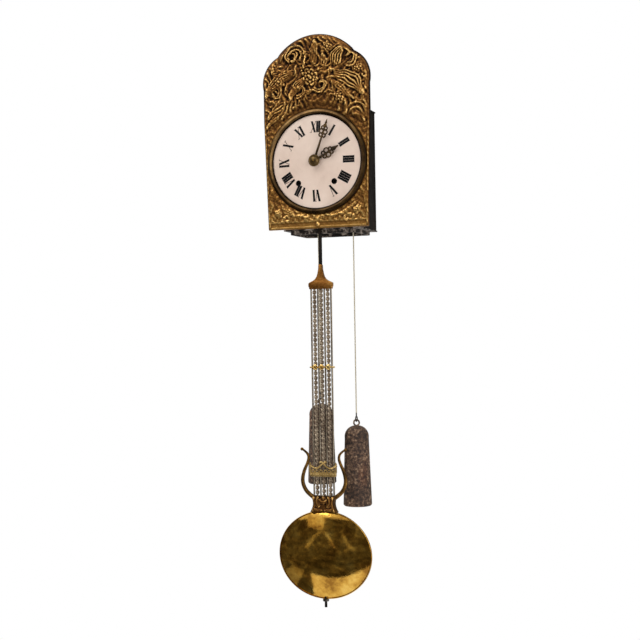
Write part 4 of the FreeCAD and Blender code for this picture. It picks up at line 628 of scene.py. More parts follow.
def throughThree(a, b, c, steps):
    # points of the circle's arc from a over b to c
    (ax, ay), (bx, by), (cx, cy) = a, b, c
    a2, b2, c2 = ax ** 2 + ay ** 2, bx ** 2 + by ** 2, cx ** 2 + cy ** 2
    d = 2 * (ax * (by - cy) + bx * (cy - ay) + cx * (ay - by))
    ux = (a2 * (by - cy) + b2 * (cy - ay) + c2 * (ay - by)) / d
    uy = (a2 * (cx - bx) + b2 * (ax - cx) + c2 * (bx - ax)) / d
    r = math.dist(a, (ux, uy))
    first, middle, last = (math.atan2(y - uy, x - ux) for x, y in (a, b, c))
    way = (middle - first + math.pi) % (2 * math.pi) - math.pi
    sweep = (last - first) % (2 * math.pi) if way > 0 else -((first - last) % (2 * math.pi))
    turns = [first + sweep * n / steps for n in range(steps + 1)]
    return [(ux + r * math.cos(turn), uy + r * math.sin(turn)) for turn in turns]


def frontonOutline():
    # clockwise from the left shoulder, closed along the foot
    right = throughThree(*shoulderArc, 24)
    return throughThree(*headArc, 60) + right + bothSides(sideCorners) + [(-x, z) for x, z in reversed(right)]


def distanceToEdge(x, z, edge):
    # distance from each point to the closed outline, and the nearest point on it
    best = np.full(x.shape, 1e9)
    nearX, nearZ = np.zeros_like(x), np.zeros_like(x)
    inside = np.zeros(x.shape, bool)
    for (ax, az), (bx, bz) in zip(edge, edge[1:] + edge[:1]):
        dx, dz = bx - ax, bz - az
        t = np.clip(((x - ax) * dx + (z - az) * dz) / max(dx * dx + dz * dz, 1e-9), 0, 1)
        px, pz = ax + t * dx, az + t * dz
        d = np.hypot(x - px, z - pz)
        closer = d < best
        best = np.where(closer, d, best)
        nearX, nearZ = np.where(closer, px, nearX), np.where(closer, pz, nearZ)
        if abs(dz) > 1e-9:
            inside ^= ((az > z) != (bz > z)) & (x < (bx - ax) * (z - az) / dz + ax)
    return best, nearX, nearZ, inside


def smoothStep(value, low, high):
    t = np.clip((value - low) / (high - low), 0, 1)
    return t * t * (3 - 2 * t)


def stretchAlong(x, z, spine, reach):
    # for the net's points near a spine: which they are, how far along it, how far to its side
    low, high = spine.min(0) - reach, spine.max(0) + reach
    near = np.nonzero((x > low[0]) & (x < high[0]) & (z > low[1]) & (z < high[1]))[0]
    px, pz = x[near][:, None] - spine[:, 0], z[near][:, None] - spine[:, 1]
    index = np.argmin(px ** 2 + pz ** 2, axis=1)
    way = np.gradient(spine, axis=0)
    way /= np.hypot(way[:, 0], way[:, 1])[:, None] + 1e-9
    rows = np.arange(len(near))
    px, pz, wx, wz = px[rows, index], pz[rows, index], way[index, 0], way[index, 1]
    past = wx * px + wz * pz
    far = np.hypot(px, pz)
    ends = ((index == 0) & (past < 0)) | ((index == len(spine) - 1) & (past > 0))
    return near, index / (len(spine) - 1), wx * pz - wz * px, np.where(ends, far + 100, far)


def raiseTo(height, near, rise):
    height[near] = np.maximum(height[near], rise)


def pressLeaf(height, x, z, start, bend, tip, half, rise, ribs=1, lobes=4):
    # a curling leaf with notched edges and ribs along it
    steps = 42
    t = np.arange(steps + 1)[:, None] / steps
    spine = (1 - t) ** 2 * start + 2 * t * (1 - t) * bend + t * t * tip
    near, along, side, far = stretchAlong(x, z, spine, half + 3)
    base = np.sin(math.pi * np.clip(along * 0.9 + 0.08, 0, 1)) ** 0.6
    saw = (along * lobes - np.abs(side) / half * 0.55) % 1.0
    width = half * base * (0.8 + 0.24 * saw ** 0.7) if lobes > 1 else half * base
    u = side / np.maximum(width, 0.3)
    body = np.clip(1 - u ** 2, 0, 1) ** 0.5
    groove = 0.5 + 0.5 * np.cos(math.pi * (ribs * 2 * u))
    curl = 0.68 + 0.4 * along ** 2
    lifted = rise * (0.5 + 0.5 * body) * curl * (0.5 + 0.5 * groove) * smoothStep(1 - np.abs(u), 0, 0.2)
    raiseTo(height, near, np.where((np.abs(u) < 1) & (far < half * 1.4), lifted, 0))


def pressFlower(height, x, z, cx, cz, radius, rise, petals):
    near = np.nonzero(np.hypot(x - cx, z - cz) < radius * 1.3)[0]
    dx, dz = x[near] - cx, z[near] - cz
    r, turn = np.hypot(dx, dz), np.arctan2(dz, dx)
    out = np.zeros_like(r)
    for share, shift, lift in ((1.0, 0.0, 0.66), (0.62, 0.5, 0.92)):
        phase = (turn * petals / (2 * math.pi) + shift) % 1.0 - 0.5
        u = r / (radius * share * (0.62 + 0.38 * np.cos(phase * math.pi * 0.96) ** 0.7))
        cup = 0.5 + 0.5 * smoothStep(u, 0.4, 0.9)
        seam = 1 - 0.5 * np.exp(-((0.5 - np.abs(phase)) / 0.1) ** 2)
        out = np.maximum(out, np.where(u < 1, rise * lift * cup * seam * smoothStep(1 - u, 0, 0.1), 0))
    boss = radius * 0.24
    dome = 0.66 + 0.34 * np.sqrt(np.clip(1 - (r / boss) ** 2, 0, 1))
    raiseTo(height, near, np.maximum(out, np.where(r < boss, rise * dome, 0)))


def pressCurl(height, x, z, cx, cz, radius, rise, first, turns):
    # a ribbon that rolls inwards, hollow along its middle
    steps = 70
    t = np.arange(steps + 1) / steps
    turn = np.radians(first + 360 * turns * t)
    r = radius * (1 - 0.66 * t ** 1.2)
    spine = np.stack([cx + r * np.cos(turn), cz + r * np.sin(turn)], 1)
    near, along, side, far = stretchAlong(x, z, spine, radius * 0.5)
    width = radius * (0.34 - 0.16 * along)
    u = np.abs(side) / width
    lifted = rise * (0.6 + 0.4 * smoothStep(u, 0.1, 0.75)) * (0.8 + 0.3 * along)
    raiseTo(height, near, np.where((u < 1) & (far < width * 1.3), lifted * smoothStep(1 - u, 0, 0.25), 0))


def fillLeaves(height, x, z, seed):
    # small curled leaves over the ground, which swirl round the nearest curl
    pick = np.random.default_rng(seed)
    centres = [c[:2] for c in curls if c[1] > 0]
    for row in range(0, 15):
        for column in range(-8, 9):
            px = column * 17 + (row % 2) * 8 + pick.uniform(-5, 5)
            pz = 122 + row * 12 + pick.uniform(-4, 4)
            if abs(px) > 129 or math.hypot(px, pz) < 136 or pz > 292 - px * px / 250:
                continue
            if abs(px) < 26 and pz < 152:
                continue
            way = 1 if px > 0 else -1
            cx, cz = min(centres, key=lambda c: math.dist(c, (px, pz)))
            turn = math.atan2(pz - cz, px - cx) + math.pi / 2 * way + pick.uniform(-0.6, 0.6)
            size = pick.uniform(14, 24)
            tip = (px + size * math.cos(turn), pz + size * math.sin(turn))
            turn += pick.uniform(0.5, 1.1) * way
            bend = (px + size * 0.6 * math.cos(turn), pz + size * 0.6 * math.sin(turn))
            pressLeaf(height, x, z, (px, pz), bend, tip, pick.uniform(4.5, 7.5), pick.uniform(5, 9.5), 1, 2)


def flowingFolds(x, z):
    # soft folds that wind over the upper panel, 9 to 14 mm apart
    a = x + 10 * np.sin(z / 23 + 1) + 5 * np.sin(z / 10 + x / 19)
    b = z + 10 * np.sin(x / 21) + 5 * np.sin(x / 9 - z / 17)
    first = 1 - np.abs(np.sin(a / 4.4 + 2.4 * np.sin(b / 15)))
    second = 1 - np.abs(np.sin(b / 5.2 + 2.0 * np.sin(a / 19)))
    which = smoothStep(np.sin(x / 17 + 1.3 * np.sin(z / 29)) + np.sin(z / 21 + 0.7), -0.5, 0.5)
    return 2.6 + (3.2 + 1.6 * np.sin(x / 26 + z / 33)) * (first * which + second * (1 - which))


def frontonRelief(x, z, toEdge, values):
    r = np.hypot(x, z)
    field = smoothStep(toEdge, values["fieldMargin"] - 2, values["fieldMargin"] + 2) * smoothStep(r, 127, 130)
    field *= smoothStep(z, -146, -143)
    knots = 0.7 + 0.5 * np.sin(x * 0.2 + 2 * np.sin(z * 0.13)) * np.sin(z * 0.26 + 2 * np.sin(x * 0.11))
    height = values["fieldRise"] * field * knots
    # the forms are pressed on a ground that wavers, as hand-cut dies do
    wave = values["waver"]
    wx = x + wave * (np.sin(z * 0.083 + 0.6) + 0.55 * np.sin(z * 0.21 + x * 0.06 + 1.9))
    wz = z + wave * (np.sin(x * 0.077 + 2.1) + 0.55 * np.sin(x * 0.19 - z * 0.05))
    ornament = flowingFolds(wx, wz) * smoothStep(r, 130, 146) * smoothStep(z, 70, 118)
    fillLeaves(ornament, wx, wz, values["seed"])
    forms = [(pressLeaf, leaves + pairedLeaves + [mirrored(leaf) for leaf in pairedLeaves]),
             (pressCurl, curls), (pressFlower, flowers)]
    for press, shapes in forms:
        for shape in shapes:
            press(ornament, wx, wz, *shape)
    ornament *= smoothStep(toEdge, 3, 8) * smoothStep(r, 126.5, 131)
    height = np.maximum(height, ornament)
    # the rolled rim, which ends above the plain foot band
    wide = values["rimWidth"]
    rim = values["rimRise"] * np.sqrt(np.clip(1 - ((toEdge - wide) / wide) ** 2, 0, 1))
    rim *= 0.85 + 0.15 * np.sin((x + z) * 0.5)
    height = np.maximum(height, np.where(z < -155, 0, rim))
    line = 1.6 * np.exp(-((z + 144) / 1.6) ** 2) + 1.0 * np.exp(-((z + 157.5) / 1.2) ** 2)
    boss = 4.0 * np.sqrt(np.clip(1 - ((x ** 2 + (z + 151) ** 2) / 25), 0, 1))
    height = np.maximum(height, np.maximum(line * smoothStep(toEdge, 2, 4), boss))
    dents = 0.35 * np.sin(x * 0.21 + 1.3) * np.sin(z * 0.17) + 0.25 * np.sin(x * 0.5 + z * 0.33)
    # punched ground, coarser and deeper beside and below the dial
    punched = np.sin(x * 0.74 + 2.2 * np.sin(z * 0.23)) * np.sin(z * 0.69 + 2.2 * np.sin(x * 0.19 + 0.5))
    punched *= (0.85 - 0.35 * smoothStep(z, 60, 130)) * field
    return np.maximum(height + dents * smoothStep(toEdge, 4, 12) + punched, 0)


def blurNet(net, size):
    # a soft mean over the net, to tell ridges from hollows
    padded = np.pad(net, size, mode="edge")
    reach = range(-size, size + 1)
    steps = [(i, j) for i in reach for j in reach if i * i + j * j <= size * size]
    total = np.zeros_like(net)
    for i, j in steps:
        total += padded[size + i:size + i + net.shape[0], size + j:size + j + net.shape[1]]
    return total / len(steps)


def makeFronton(values):
    cell = values["cell"]
    netX, netZ = np.meshgrid(np.arange(-values["across"], values["across"] + 0.1, cell),
                             np.arange(values["foot"], values["head"] + 0.1, cell))
    toEdge, nearX, nearZ, inside = distanceToEdge(netX, netZ, frontonOutline())
    hole = values["holeRadius"]
    r = np.hypot(netX, netZ)
    kept = inside & (toEdge > cell * 0.3) & (r > hole + cell * 0.3)
    cells = kept[:-1, :-1] & kept[1:, :-1] & kept[:-1, 1:] & kept[1:, 1:]
    full = sum(np.pad(cells.astype(int), ((i, 1 - i), (j, 1 - j))) for i in (0, 1) for j in (0, 1))
    used = full > 0
    border = used & (full < 4)
    atHole = border & (r < hole + 3 * cell)
    x = np.where(atHole, netX * hole / r, np.where(border, nearX, netX))
    z = np.where(atHole, netZ * hole / r, np.where(border, nearZ, netZ))
    toEdge = np.where(border & ~atHole, 0.0, toEdge)
    height = frontonRelief(x.ravel(), z.ravel(), toEdge.ravel(), values).reshape(x.shape)
    height = np.where(border, np.minimum(height, 1.0), blurNet(height, 1))
    # ridges are rubbed bright and hollows darkened, as patina and painted shade, and the sheet is a little
    # brighter low down
    lighter = 0.06 * (1 - smoothStep(z, 30, 150)) + 0.14 * (1 - smoothStep(z, -140, -90))
    lighter -= 0.03 * smoothStep(z, 200, 280)
    flat, small, wide = values["wear"]
    ridgeWearAndHollowShade = (height - blurNet(height, 3)) * small + (height - blurNet(height, 8)) * wide
    wear = np.clip(flat + ridgeWearAndHollowShade + lighter, 0, 1)
    number = -np.ones(kept.shape, int)
    spots = np.argwhere(used)
    number[used] = np.arange(len(spots))
    front = [(x[i, j] * mm, -(values["sheetDepth"] + height[i, j]) * mm, dialHeight + z[i, j] * mm)
             for i, j in spots]
    faces = [(number[i, j], number[i, j + 1], number[i + 1, j + 1], number[i + 1, j])
             for i, j in np.argwhere(cells)]
    piece = newObject("frontonRelief", front, [], faces)
    markWearAndShade(piece, [wear[i, j] for i, j in spots])
    turnEdgeBack(piece, set(number[border & ~atHole]), values["returnEdge"] * mm)
    thicken(piece, values["wall"])
    finishPiece(piece, "stamped_brass", "case", 50, "fronton")
    print("fronton", len(piece.data.polygons), "faces, relief to", round(float(height.max()), 1), "mm")


def turnEdgeBack(piece, outer, reach):
    # the sheet's outer edge is extruded towards the wall
    used = {}
    for face in piece.data.polygons:
        for key in face.edge_keys:
            used[key] = used.get(key, 0) + 1
    editAll(piece)
    bpy.ops.mesh.select_mode(type="EDGE")
    bpy.ops.mesh.select_all(action="DESELECT")
    bpy.ops.object.mode_set(mode="OBJECT")
    for line in piece.data.edges:
        a, b = line.vertices
        line.select = used[line.key] == 1 and a in outer and b in outer
    bpy.ops.object.mode_set(mode="EDIT")
    bpy.ops.mesh.extrude_edges_move(TRANSFORM_OT_translate={"value": (0, reach, 0)})
    bpy.ops.object.mode_set(mode="OBJECT")


makeFronton(frontonValues)

# Hour numerals, painted on the domed enamel
numeralValues = {
    "outer": 97.0,           # mm from the dial's centre to the numerals' tops
    "tall": 28.0,
    "thick": 5.3,
    "thin": 1.3,
    "wide": 2.6,             # a V or X, against its thick stroke
    "gap": 0.3,
    "serif": 0.8,
    "lift": 0.12,
    "sunk": 0.25,
    "dome": (172.3, 765, 756),   # the enamel's back, its ball's radius, and how deep the ball's middle is
}
hourWords = ["XII", "I", "II", "III", "IIII", "V", "VI", "VII", "VIII", "IX", "X", "XI"]


def strokesOf(word, v):
    # each stroke as (foot x, top x, width, foot height, top height), from the word's left side
    thick, thin, serif = v["thick"], v["thin"], v["serif"]
    head = v["tall"] - serif
    strokes, at = [], 0.0
    for letter in word:
        wide = thick if letter == "I" else thick * v["wide"]
        left, right = at + thick / 2, at + wide - thin / 2
        footLeft, footRight = at + thin / 2, at + wide - thick / 2
        slopes, ends, reach = {
            "I": ([(left, left, thick)], [(0, left), (head, left)], thick + 2 * serif),
            "V": ([(at + wide * 0.55, left, thick), (at + wide * 0.55, right, thin)],
                  [(head, left), (head, right)], thick + serif),
            "X": ([(footRight, left, thick), (footLeft, right, thin)],
                  [(head, left), (head, right), (0, footRight), (0, footLeft)], thick + serif),
        }[letter]
        strokes += [(foot, top, width, 0, v["tall"]) for foot, top, width in slopes]
        strokes += [(middle, middle, reach, up, up + serif) for up, middle in ends]
        at += wide + v["gap"]
    return strokes, at - v["gap"]


def makeNumerals(values):
    points, faces = [], []
    back, ball, deep = values["dome"]
    for hour, word in enumerate(hourWords):
        strokes, wide = strokesOf(word, values)
        turn = math.radians(-30 * hour)
        cos, sin = math.cos(turn), math.sin(turn)
        for footX, topX, width, footUp, topUp in strokes:
            cuts = 5 if topUp - footUp > 5 else 1
            first = len(points)
            for n in range(cuts + 1):
                t = n / cuts
                middle = footX + (topX - footX) * t - wide / 2
                up = values["outer"] - values["tall"] + footUp + (topUp - footUp) * t
                for u in (middle - width / 2, middle + width / 2):
                    x, z = u * cos - up * sin, u * sin + up * cos
                    face = back + math.sqrt(ball ** 2 - x * x - z * z) - deep
                    for lift in (values["lift"], -values["sunk"]):
                        points.append((x * mm, -(face + lift) * mm, dialHeight + z * mm))
            for a in range(first, first + 4 * cuts, 4):
                faces += [(a, a + 2, a + 6, a + 4), (a + 1, a + 5, a + 7, a + 3), (a, a + 4, a + 5, a + 1),
                          (a + 2, a + 3, a + 7, a + 6)]
            last = first + 4 * cuts
            faces += [(first, first + 1, first + 3, first + 2), (last, last + 2, last + 3, last + 1)]
    piece = newObject("hourNumerals", points, [], faces)
    recalculate(piece)
    finishPiece(piece, "numeral_ink", "case")
    print("numerals", len(faces), "faces")


makeNumerals(numeralValues)

# Hands: slim shafts, a cluster of open rings and a leaf at the tip
handValues = {
    "minute": {"turn": 19.8, "depth": 189.8, "shaft": (3.1, 2.4, 58),
               "rings": [(4.2, 63, 3.9), (5.4, 72, 4.8), (4.0, 81, 3.6), (0, 87, 2.8)],
               "leaf": [(0, 88), (3.2, 93.5), (1.6, 98), (0.7, 103)]},
    "hour": {"turn": 61.65, "depth": 186.0, "shaft": (3.6, 2.8, 23),
             "rings": [(4.6, 27, 4.2), (6.2, 37, 5.6), (4.4, 47, 4.0)],
             "leaf": [(0, 48), (6.0, 54), (3.6, 60), (1.4, 69)]},
    "thick": 1.85,           # half of a ring's width
    "flat": 0.42,            # the rings' depth against their width
    "hub": 10.8,
}


def makeHand(name, which, values):
    own = values[which]
    depth = own["depth"]
    foot, top, end = own["shaft"]
    last = own["rings"][-1][1]
    shaft = [(-foot, 6), (foot, 6), (top, end), (0.9, end + 10), (-0.9, end + 10), (-top, end)]
    spine = [(-1, end - 2), (1, end - 2), (1, last + 4), (-1, last + 4)]
    leaf = own["leaf"] + [(-x, z) for x, z in reversed(own["leaf"][1:])]
    flats = (("shaft", shaft, 1.2, 0.3), ("spine", spine, 1.1, 0.25), ("leaf", leaf, 1.2, 0.3))
    parts = [plate(word, outline, depth - thick / 2, thick, bevel) for word, outline, thick, bevel in flats]
    for out, along, radius in own["rings"]:
        for side in (1, -1) if out else (1,):
            bpy.ops.mesh.primitive_torus_add(major_segments=28, minor_segments=8, major_radius=radius * mm,
                                             minor_radius=values["thick"] * mm, rotation=(math.pi / 2, 0, 0),
                                             location=(side * out * mm, -depth * mm, along * mm))
            bpy.context.object.scale = (1, 1, values["flat"])
            parts.append(bpy.context.object)
    bpy.ops.mesh.primitive_cylinder_add(vertices=48, radius=values["hub"] * mm, depth=1.2 * mm,
                                        rotation=(math.pi / 2, 0, 0), location=(0, -depth * mm, 0))
    parts.append(bevelled(bpy.context.object, 0.3))
    hand = joined(name, parts)
    hand.data.transform(Matrix.Rotation(math.radians(own["turn"]), 4, "Y"))
    hand.data.transform(Matrix.Translation((0, 0, dialHeight)))
    finishPiece(hand, "hand_brass", which + "_body", 35, which + "_hand")
    print(name, len(hand.data.polygons), "faces")


makeHand("minuteHand", "minute", handValues)
makeHand("hourHand", "hour", handValues)

# Collet: a washer, a dome and the arbor's stud, as (out, along) from its back in mm
colletValues = {
    "back": 190.5,
    "profile": [(0, 0), (14.2, 0), (14.6, 0.5), (14, 1.3), (11.6, 1.5), (10.8, 0.8), (9.9, 0.8), (9.1, 1.9),
                (6.8, 3.0), (3.6, 3.6), (3.1, 3.3), (3.0, 5.5), (1.8, 6.0), (0, 6.08)],
}
colletFoot = (0, -colletValues["back"], dialHeight / mm)
collet = turned("handCollet", colletValues["profile"], colletFoot, (0, -1, 0), 64)
finishPiece(collet, "collet_bronze", "minute_body", 40, "hand_collet")

# Bob: two polished domes with a rolled edge
bobValues = {
    "centre": (0, -158, -1108),
    "halfWidth": 119.0,
    "halfHeight": 106.0,
    "frontRise": 25.0,
    "backRise": 15.0,
    "bead": 1.6,             # the rolled edge's radius
    "beadTurns": (110, 75, 40, 5, -30, -60, -88),
    "wall": 1.0,
    "rings": 36,
    "segments": 160,
}


def bobFace(name, node, rise, way, values):
    half, bead, wall = values["halfHeight"], values["bead"], values["wall"]
    reach, lift = half - 1.6 * bead, rise - bead
    ball = (reach ** 2 + lift ** 2) / (2 * lift)

    def dome(inset):
        turns = [math.pi / 2 * n / values["rings"] for n in range(values["rings"] + 1)]
        outs = [(reach - inset) * math.sin(turn) for turn in turns]
        return [(out, bead + math.sqrt(ball ** 2 - out ** 2) - (ball - lift) - inset) for out in outs]

    edge = [(half - bead + bead * math.cos(t), bead + bead * 0.96 * math.sin(t))
            for t in map(math.radians, values["beadTurns"])]
    profile = dome(0) + edge + [(reach - 2 * wall, 0.1)] + dome(wall)[-2::-1]
    piece = turned(name, profile, values["centre"], (0, -way, 0), values["segments"])
    editAll(piece)
    centre = Vector(values["centre"]) * mm
    bpy.ops.transform.resize(value=(values["halfWidth"] / half, 1, 1), center_override=centre)
    bpy.ops.object.mode_set(mode="OBJECT")
    finishPiece(piece, "polished_brass", "pendulum", 40, node)


bobFace("bobFront", "bob_front_shell", bobValues["frontRise"], 1, bobValues)
bobFace("bobBack", "bob_back_shell", bobValues["backRise"], -1, bobValues)
print("bob made")

# Crossbar of the lyre: a bar, two posts, and a wire with two swags between them
crossbarValues = {
    "back": 162.3,
    "thick": 1.9,
    "half": 34.5,
    "bar": (-919.5, -909.0),
    "posts": (31.0, 35.5, -884.5),   # inner and outer x, and the top
    "wire": 2.3,
    "swag": [(35.5, -8), (29, -11), (21, -16), (12, -14), (4, -6), (-2, -1), (-6, 1), (-8, -2)],
    "loopWire": 1.2,
    "loop": [(-4, -0.5), (-3, 4), (0, 6), (3, 4), (4, -0.5)],
    "loops": (6, 16, 26),
    "beads": (2.2, 1.1, 6.2, 5),     # radius, depth, spacing, and how many to each side
}


def tubePiece(name, points, radius):
    # the wire follows a smooth line through its points
    path = smoothLine([Vector(p) * mm for p in points])
    return cordTube(name, path, radius * mm, 8, "bar_brass")


def makeCrossbar(values):
    low, high = values["bar"]
    inner, outer, top = values["posts"]
    back, thick, half = values["back"], values["thick"], values["half"]
    middle = -(back + thick / 2)
    bar = [(-half, low + 2), (3 - half, low), (half - 3, low), (half, low + 2), (half, high), (-half, high)]
    post = [(inner, high - 1), (outer, high - 1), (outer, top - 4), ((inner + outer) / 2, top),
            (inner, top - 4)]
    parts = [plate("bar", bar, back, thick, 0.5)]
    for side in (1, -1):
        parts.append(plate("post", [(side * x, z) for x, z in post[::side]], back, thick, 0.5))
        swag = [(side * x, middle - side * 0.5, top + z) for x, z in values["swag"]]
        parts.append(tubePiece("swag", swag, values["wire"]))
        for arc in values["loops"]:
            loop = [(side * (arc + x), middle, high + z) for x, z in values["loop"]]
            parts.append(tubePiece("loop", loop, values["loopWire"]))
    radius, deep, pitch, count = values["beads"]
    for n in range(-count, count + 1):
        parts.append(ballAt((n * pitch, -(back + thick), (low + high) / 2), radius, 12, 8))
        parts[-1].scale = (1, deep / radius, 1)
    piece = joined("crossbarWork", parts)
    finishPiece(piece, "bar_brass", "pendulum", 35, "lyre_crossbar")
    print("crossbar", len(piece.data.polygons), "faces")


makeCrossbar(crossbarValues)

# Cap over the grid: a flat casting with hollow shoulders and an eave
capValues = {
    "outline": [(4.2, -408), (4.8, -419), (6.8, -429), (9.4, -437), (13, -442.5), (18.5, -446.5),
                (25, -449.5), (30.2, -452), (30.8, -454), (30.8, -461), (29, -462.5), (29, -467)],
    "back": 152.2,
    "thick": 11.6,
    "bevel": 1.8,
}


def makeCap(values):
    piece = plate("gridCap", bothSides(values["outline"]), values["back"], values["thick"], values["bevel"])
    finishPiece(piece, "cap_brass", "pendulum", 40, "pendulum_cap")


# Twisted bars between the plain rods
twistValues = {
    "places": (-17, 0, 17),
    "depth": 158.0,
    "half": 4.8,             # half the flat bar's width
    "thin": 1.9,             # half its thickness
    "crown": 1.12,           # the flats' middle against their edges
    "top": -462.0,
    "foot": -1000.0,
    "turn": 23.0,            # mm of height for one whole turn
    "stepsPerTurn": 24,
    "shift": 0.9,            # radians from each bar to the next
}


def makeTwistedBars(values):
    half, thin, crown = values["half"], values["thin"], values["thin"] * values["crown"]
    section = [(half, 0), (half - 0.5, thin), (0, crown), (0.5 - half, thin), (-half, 0), (0.5 - half, -thin),
               (0, -crown), (half - 0.5, -thin)]
    count = len(section)
    steps = int((values["top"] - values["foot"]) / values["turn"] * values["stepsPerTurn"])
    points, faces = [], []
    for number, place in enumerate(values["places"]):
        first = len(points)
        for n in range(steps + 1):
            z = values["top"] + (values["foot"] - values["top"]) * n / steps
            turn = 2 * math.pi * n / values["stepsPerTurn"] + number * values["shift"]
            for u, v in section:
                points.append(((place + u * math.cos(turn) - v * math.sin(turn)) * mm,
                               (-values["depth"] + u * math.sin(turn) + v * math.cos(turn)) * mm, z * mm))
        last = first + steps * count
        for ring in range(first, last, count):
            for s in range(count):
                a, b = ring + s, ring + (s + 1) % count
                faces.append((a, a + count, b + count, b))
        faces += [tuple(range(first, first + count)), tuple(range(last + count - 1, last - 1, -1))]
    piece = newObject("twistedBars", points, [], faces)
    recalculate(piece)
    finishPiece(piece, "twisted_steel", "pendulum", 45, "twisted_rods")
    print("twisted bars", len(faces), "faces")


# Clip across the rods: a slim bar that swells between three bosses
clipValues = {
    "height": -656,
    "places": (-17, 0, 17),
    "boss": [(0, 0), (6.6, 0), (6.6, 0.8), (5.0, 1.5), (3.9, 0.8), (3.0, 2.0), (0, 2.4)],
    "bossRise": 2.4,
    "bar": [(31.5, 0.8), (29.5, 2.4), (27.5, 1.1), (25, 1.2), (22, 2.6), (18, 2.0), (13, 2.6), (8.5, 1.2),
            (4, 2.6), (0, 2.0)],
}


def makeClip(values):
    low, high = (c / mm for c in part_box("rod_clip"))
    back, front, middle = -high.y, -low.y, values["height"]
    top = bothSides([(x, middle + h) for x, h in values["bar"]])
    foot = [(x, 2 * middle - z) for x, z in reversed(top)]
    parts = [plate("bar", top + foot, back, front - back - values["bossRise"], 0.6)]
    for place in values["places"]:
        parts.append(turned("boss", values["boss"], (place, -(front - 2.5), middle), (0, -1, 0), 28))
    finishPiece(joined("rodClip", parts), "clip_brass", "pendulum", 35, "rod_clip")


# Lyre arms: forged tapering bars that end in a knob
armValues = {
    "depth": 158.0,
    "route": [(27, -971), (36, -965), (49, -953), (57, -932), (52, -908), (42, -888), (38, -874),
              (43, -862), (56, -854)],
    "shares": (0, 0.4, 0.75, 1),     # of the length, where the radii are
    "radii": (5.2, 4.6, 3.5, 2.4),
    "knob": 3.9,
}


def makeArms(values):
    parts = []

    def radius(share):
        return float(np.interp(share, values["shares"], values["radii"])) * mm

    for side in (1, -1):
        path = smoothLine([Vector((side * x, -values["depth"], z)) * mm for x, z in values["route"]])
        parts.append(cordTube("arm", path, radius, 16, "aged_brass"))
        x, z = values["route"][-1]
        parts.append(ballAt((side * x, -values["depth"], z - 0.5), values["knob"], 24, 14))
    finishPiece(joined("lyreArms", parts), "aged_brass", "pendulum", 45, "lyre_arms")


# Collar: a waisted box that stands on the bob's rim, with leaves pressed on its front
collarValues = {
    "front": 167.0,
    "back": 149.0,
    "top": -966.2,
    "halves": (31.5, 26.5, 34.0),    # at the top, the waist and the foot
    "clear": 0.4,                    # between its foot and the bob's rim
    "bevel": 0.8,
    "wall": 0.8,
    "net": (44, 64),                 # the leaves' rows and columns
    "margins": (0.985, 1.2, 0.8),    # their share of its width, and their gaps below and above
    "pairs": [((26, -1003), (36, -984), (22, -968), 11, 4.4, 1),
              ((9, -992), (22, -982), (12, -967), 9, 4.6, 1),
              ((2, -1000), (14, -1006), (22, -996), 6, 2.6, 1)],
    "middle": [((-10, -974), (0, -984), (10, -974), 7, 4.8, 1), ((0, -978), (2, -972), (0, -966), 7, 4.8, 1)],
}


def collarHalf(v, values):
    # the collar's half width from its foot (0) to its top (1)
    halfTop, waist, halfFoot = values["halves"]
    pull = 2 * (2 * waist - (halfTop + halfFoot) / 2)
    return halfFoot * (1 - v) ** 2 + pull * v * (1 - v) + halfTop * v ** 2


def rimHeight(x):
    # the top of the bob's rim
    return bobValues["centre"][2] + bobValues["halfHeight"] * np.sqrt(1 - (x / bobValues["halfWidth"]) ** 2)


def makeCollar(values):
    foot = float(rimHeight(values["halves"][2])) + values["clear"]
    side = [(float(collarHalf(v, values)), foot + (values["top"] - foot) * v) for v in np.linspace(1, 0, 14)]
    under = [(x, float(rimHeight(x)) + values["clear"]) for x in (24, 12, 0)]
    back, front = values["back"], values["front"]
    piece = plate("collarBody", bothSides(side + under), back, front - back, values["bevel"])
    finishPiece(piece, "aged_brass", "pendulum", 35, "lyre_collar")


def makeCollarLeaves(values):
    rows, columns = values["net"]
    v, u = np.mgrid[0:1:complex(rows), -1:1:complex(columns)]
    share, below, above = values["margins"]
    x = u * collarHalf(v, values) * share
    foot = rimHeight(x) + below
    z = foot + (values["top"] - above - foot) * v
    height = np.zeros(x.size)
    for leaf in values["pairs"] + [mirrored(leaf) for leaf in values["pairs"]] + values["middle"]:
        pressLeaf(height, x.ravel(), z.ravel(), *leaf)
    height = blurNet(height.reshape(x.shape), 1) * smoothStep(1 - np.abs(u), 0.02, 0.12) + 0.3
    # rubbed ridges light and hollows dark: patina and painted shade in the hollows
    wear = np.clip(0.38 + (height - blurNet(height, 5)) * 0.3, 0, 1)
    points = np.stack([x, -(values["front"] + height), z], -1).reshape(-1, 3) * mm
    faces = [(a, a + 1, a + columns + 1, a + columns)
             for row in range(rows - 1) for a in range(row * columns, (row + 1) * columns - 1)]
    piece = newObject("collarLeaves", points, [], faces)
    markWearAndShade(piece, wear.ravel())
    thicken(piece, values["wall"])
    finishPiece(piece, "stamped_brass", "pendulum", 45)
    print("collar leaves", len(faces), "faces")


makeCap(capValues)
makeTwistedBars(twistValues)
makeClip(clipValues)
makeArms(armValues)
makeCollar(collarValues)
makeCollarLeaves(collarValues)
print("cap, clip, arms and collar made")

# Floor, light and what the polished metal reflects
stageValues = {
    "floorHeight": -1.95,    # below the weights at their lowest
    "floorSize": 16.0,
    "pale": tone(238, 236, 232),
    "white": 1.0,
    "fade": (0.5, 1.6),      # metres from the clock where the floor turns to the white round it
    "room": 0.41,            # how much the pale room lights the clock
    "shadeTone": (0.16, 0.15, 0.125),
    "shadeDepth": -6.0,      # the dim wall in front of the clock
    "shadeTop": 3.0,
}


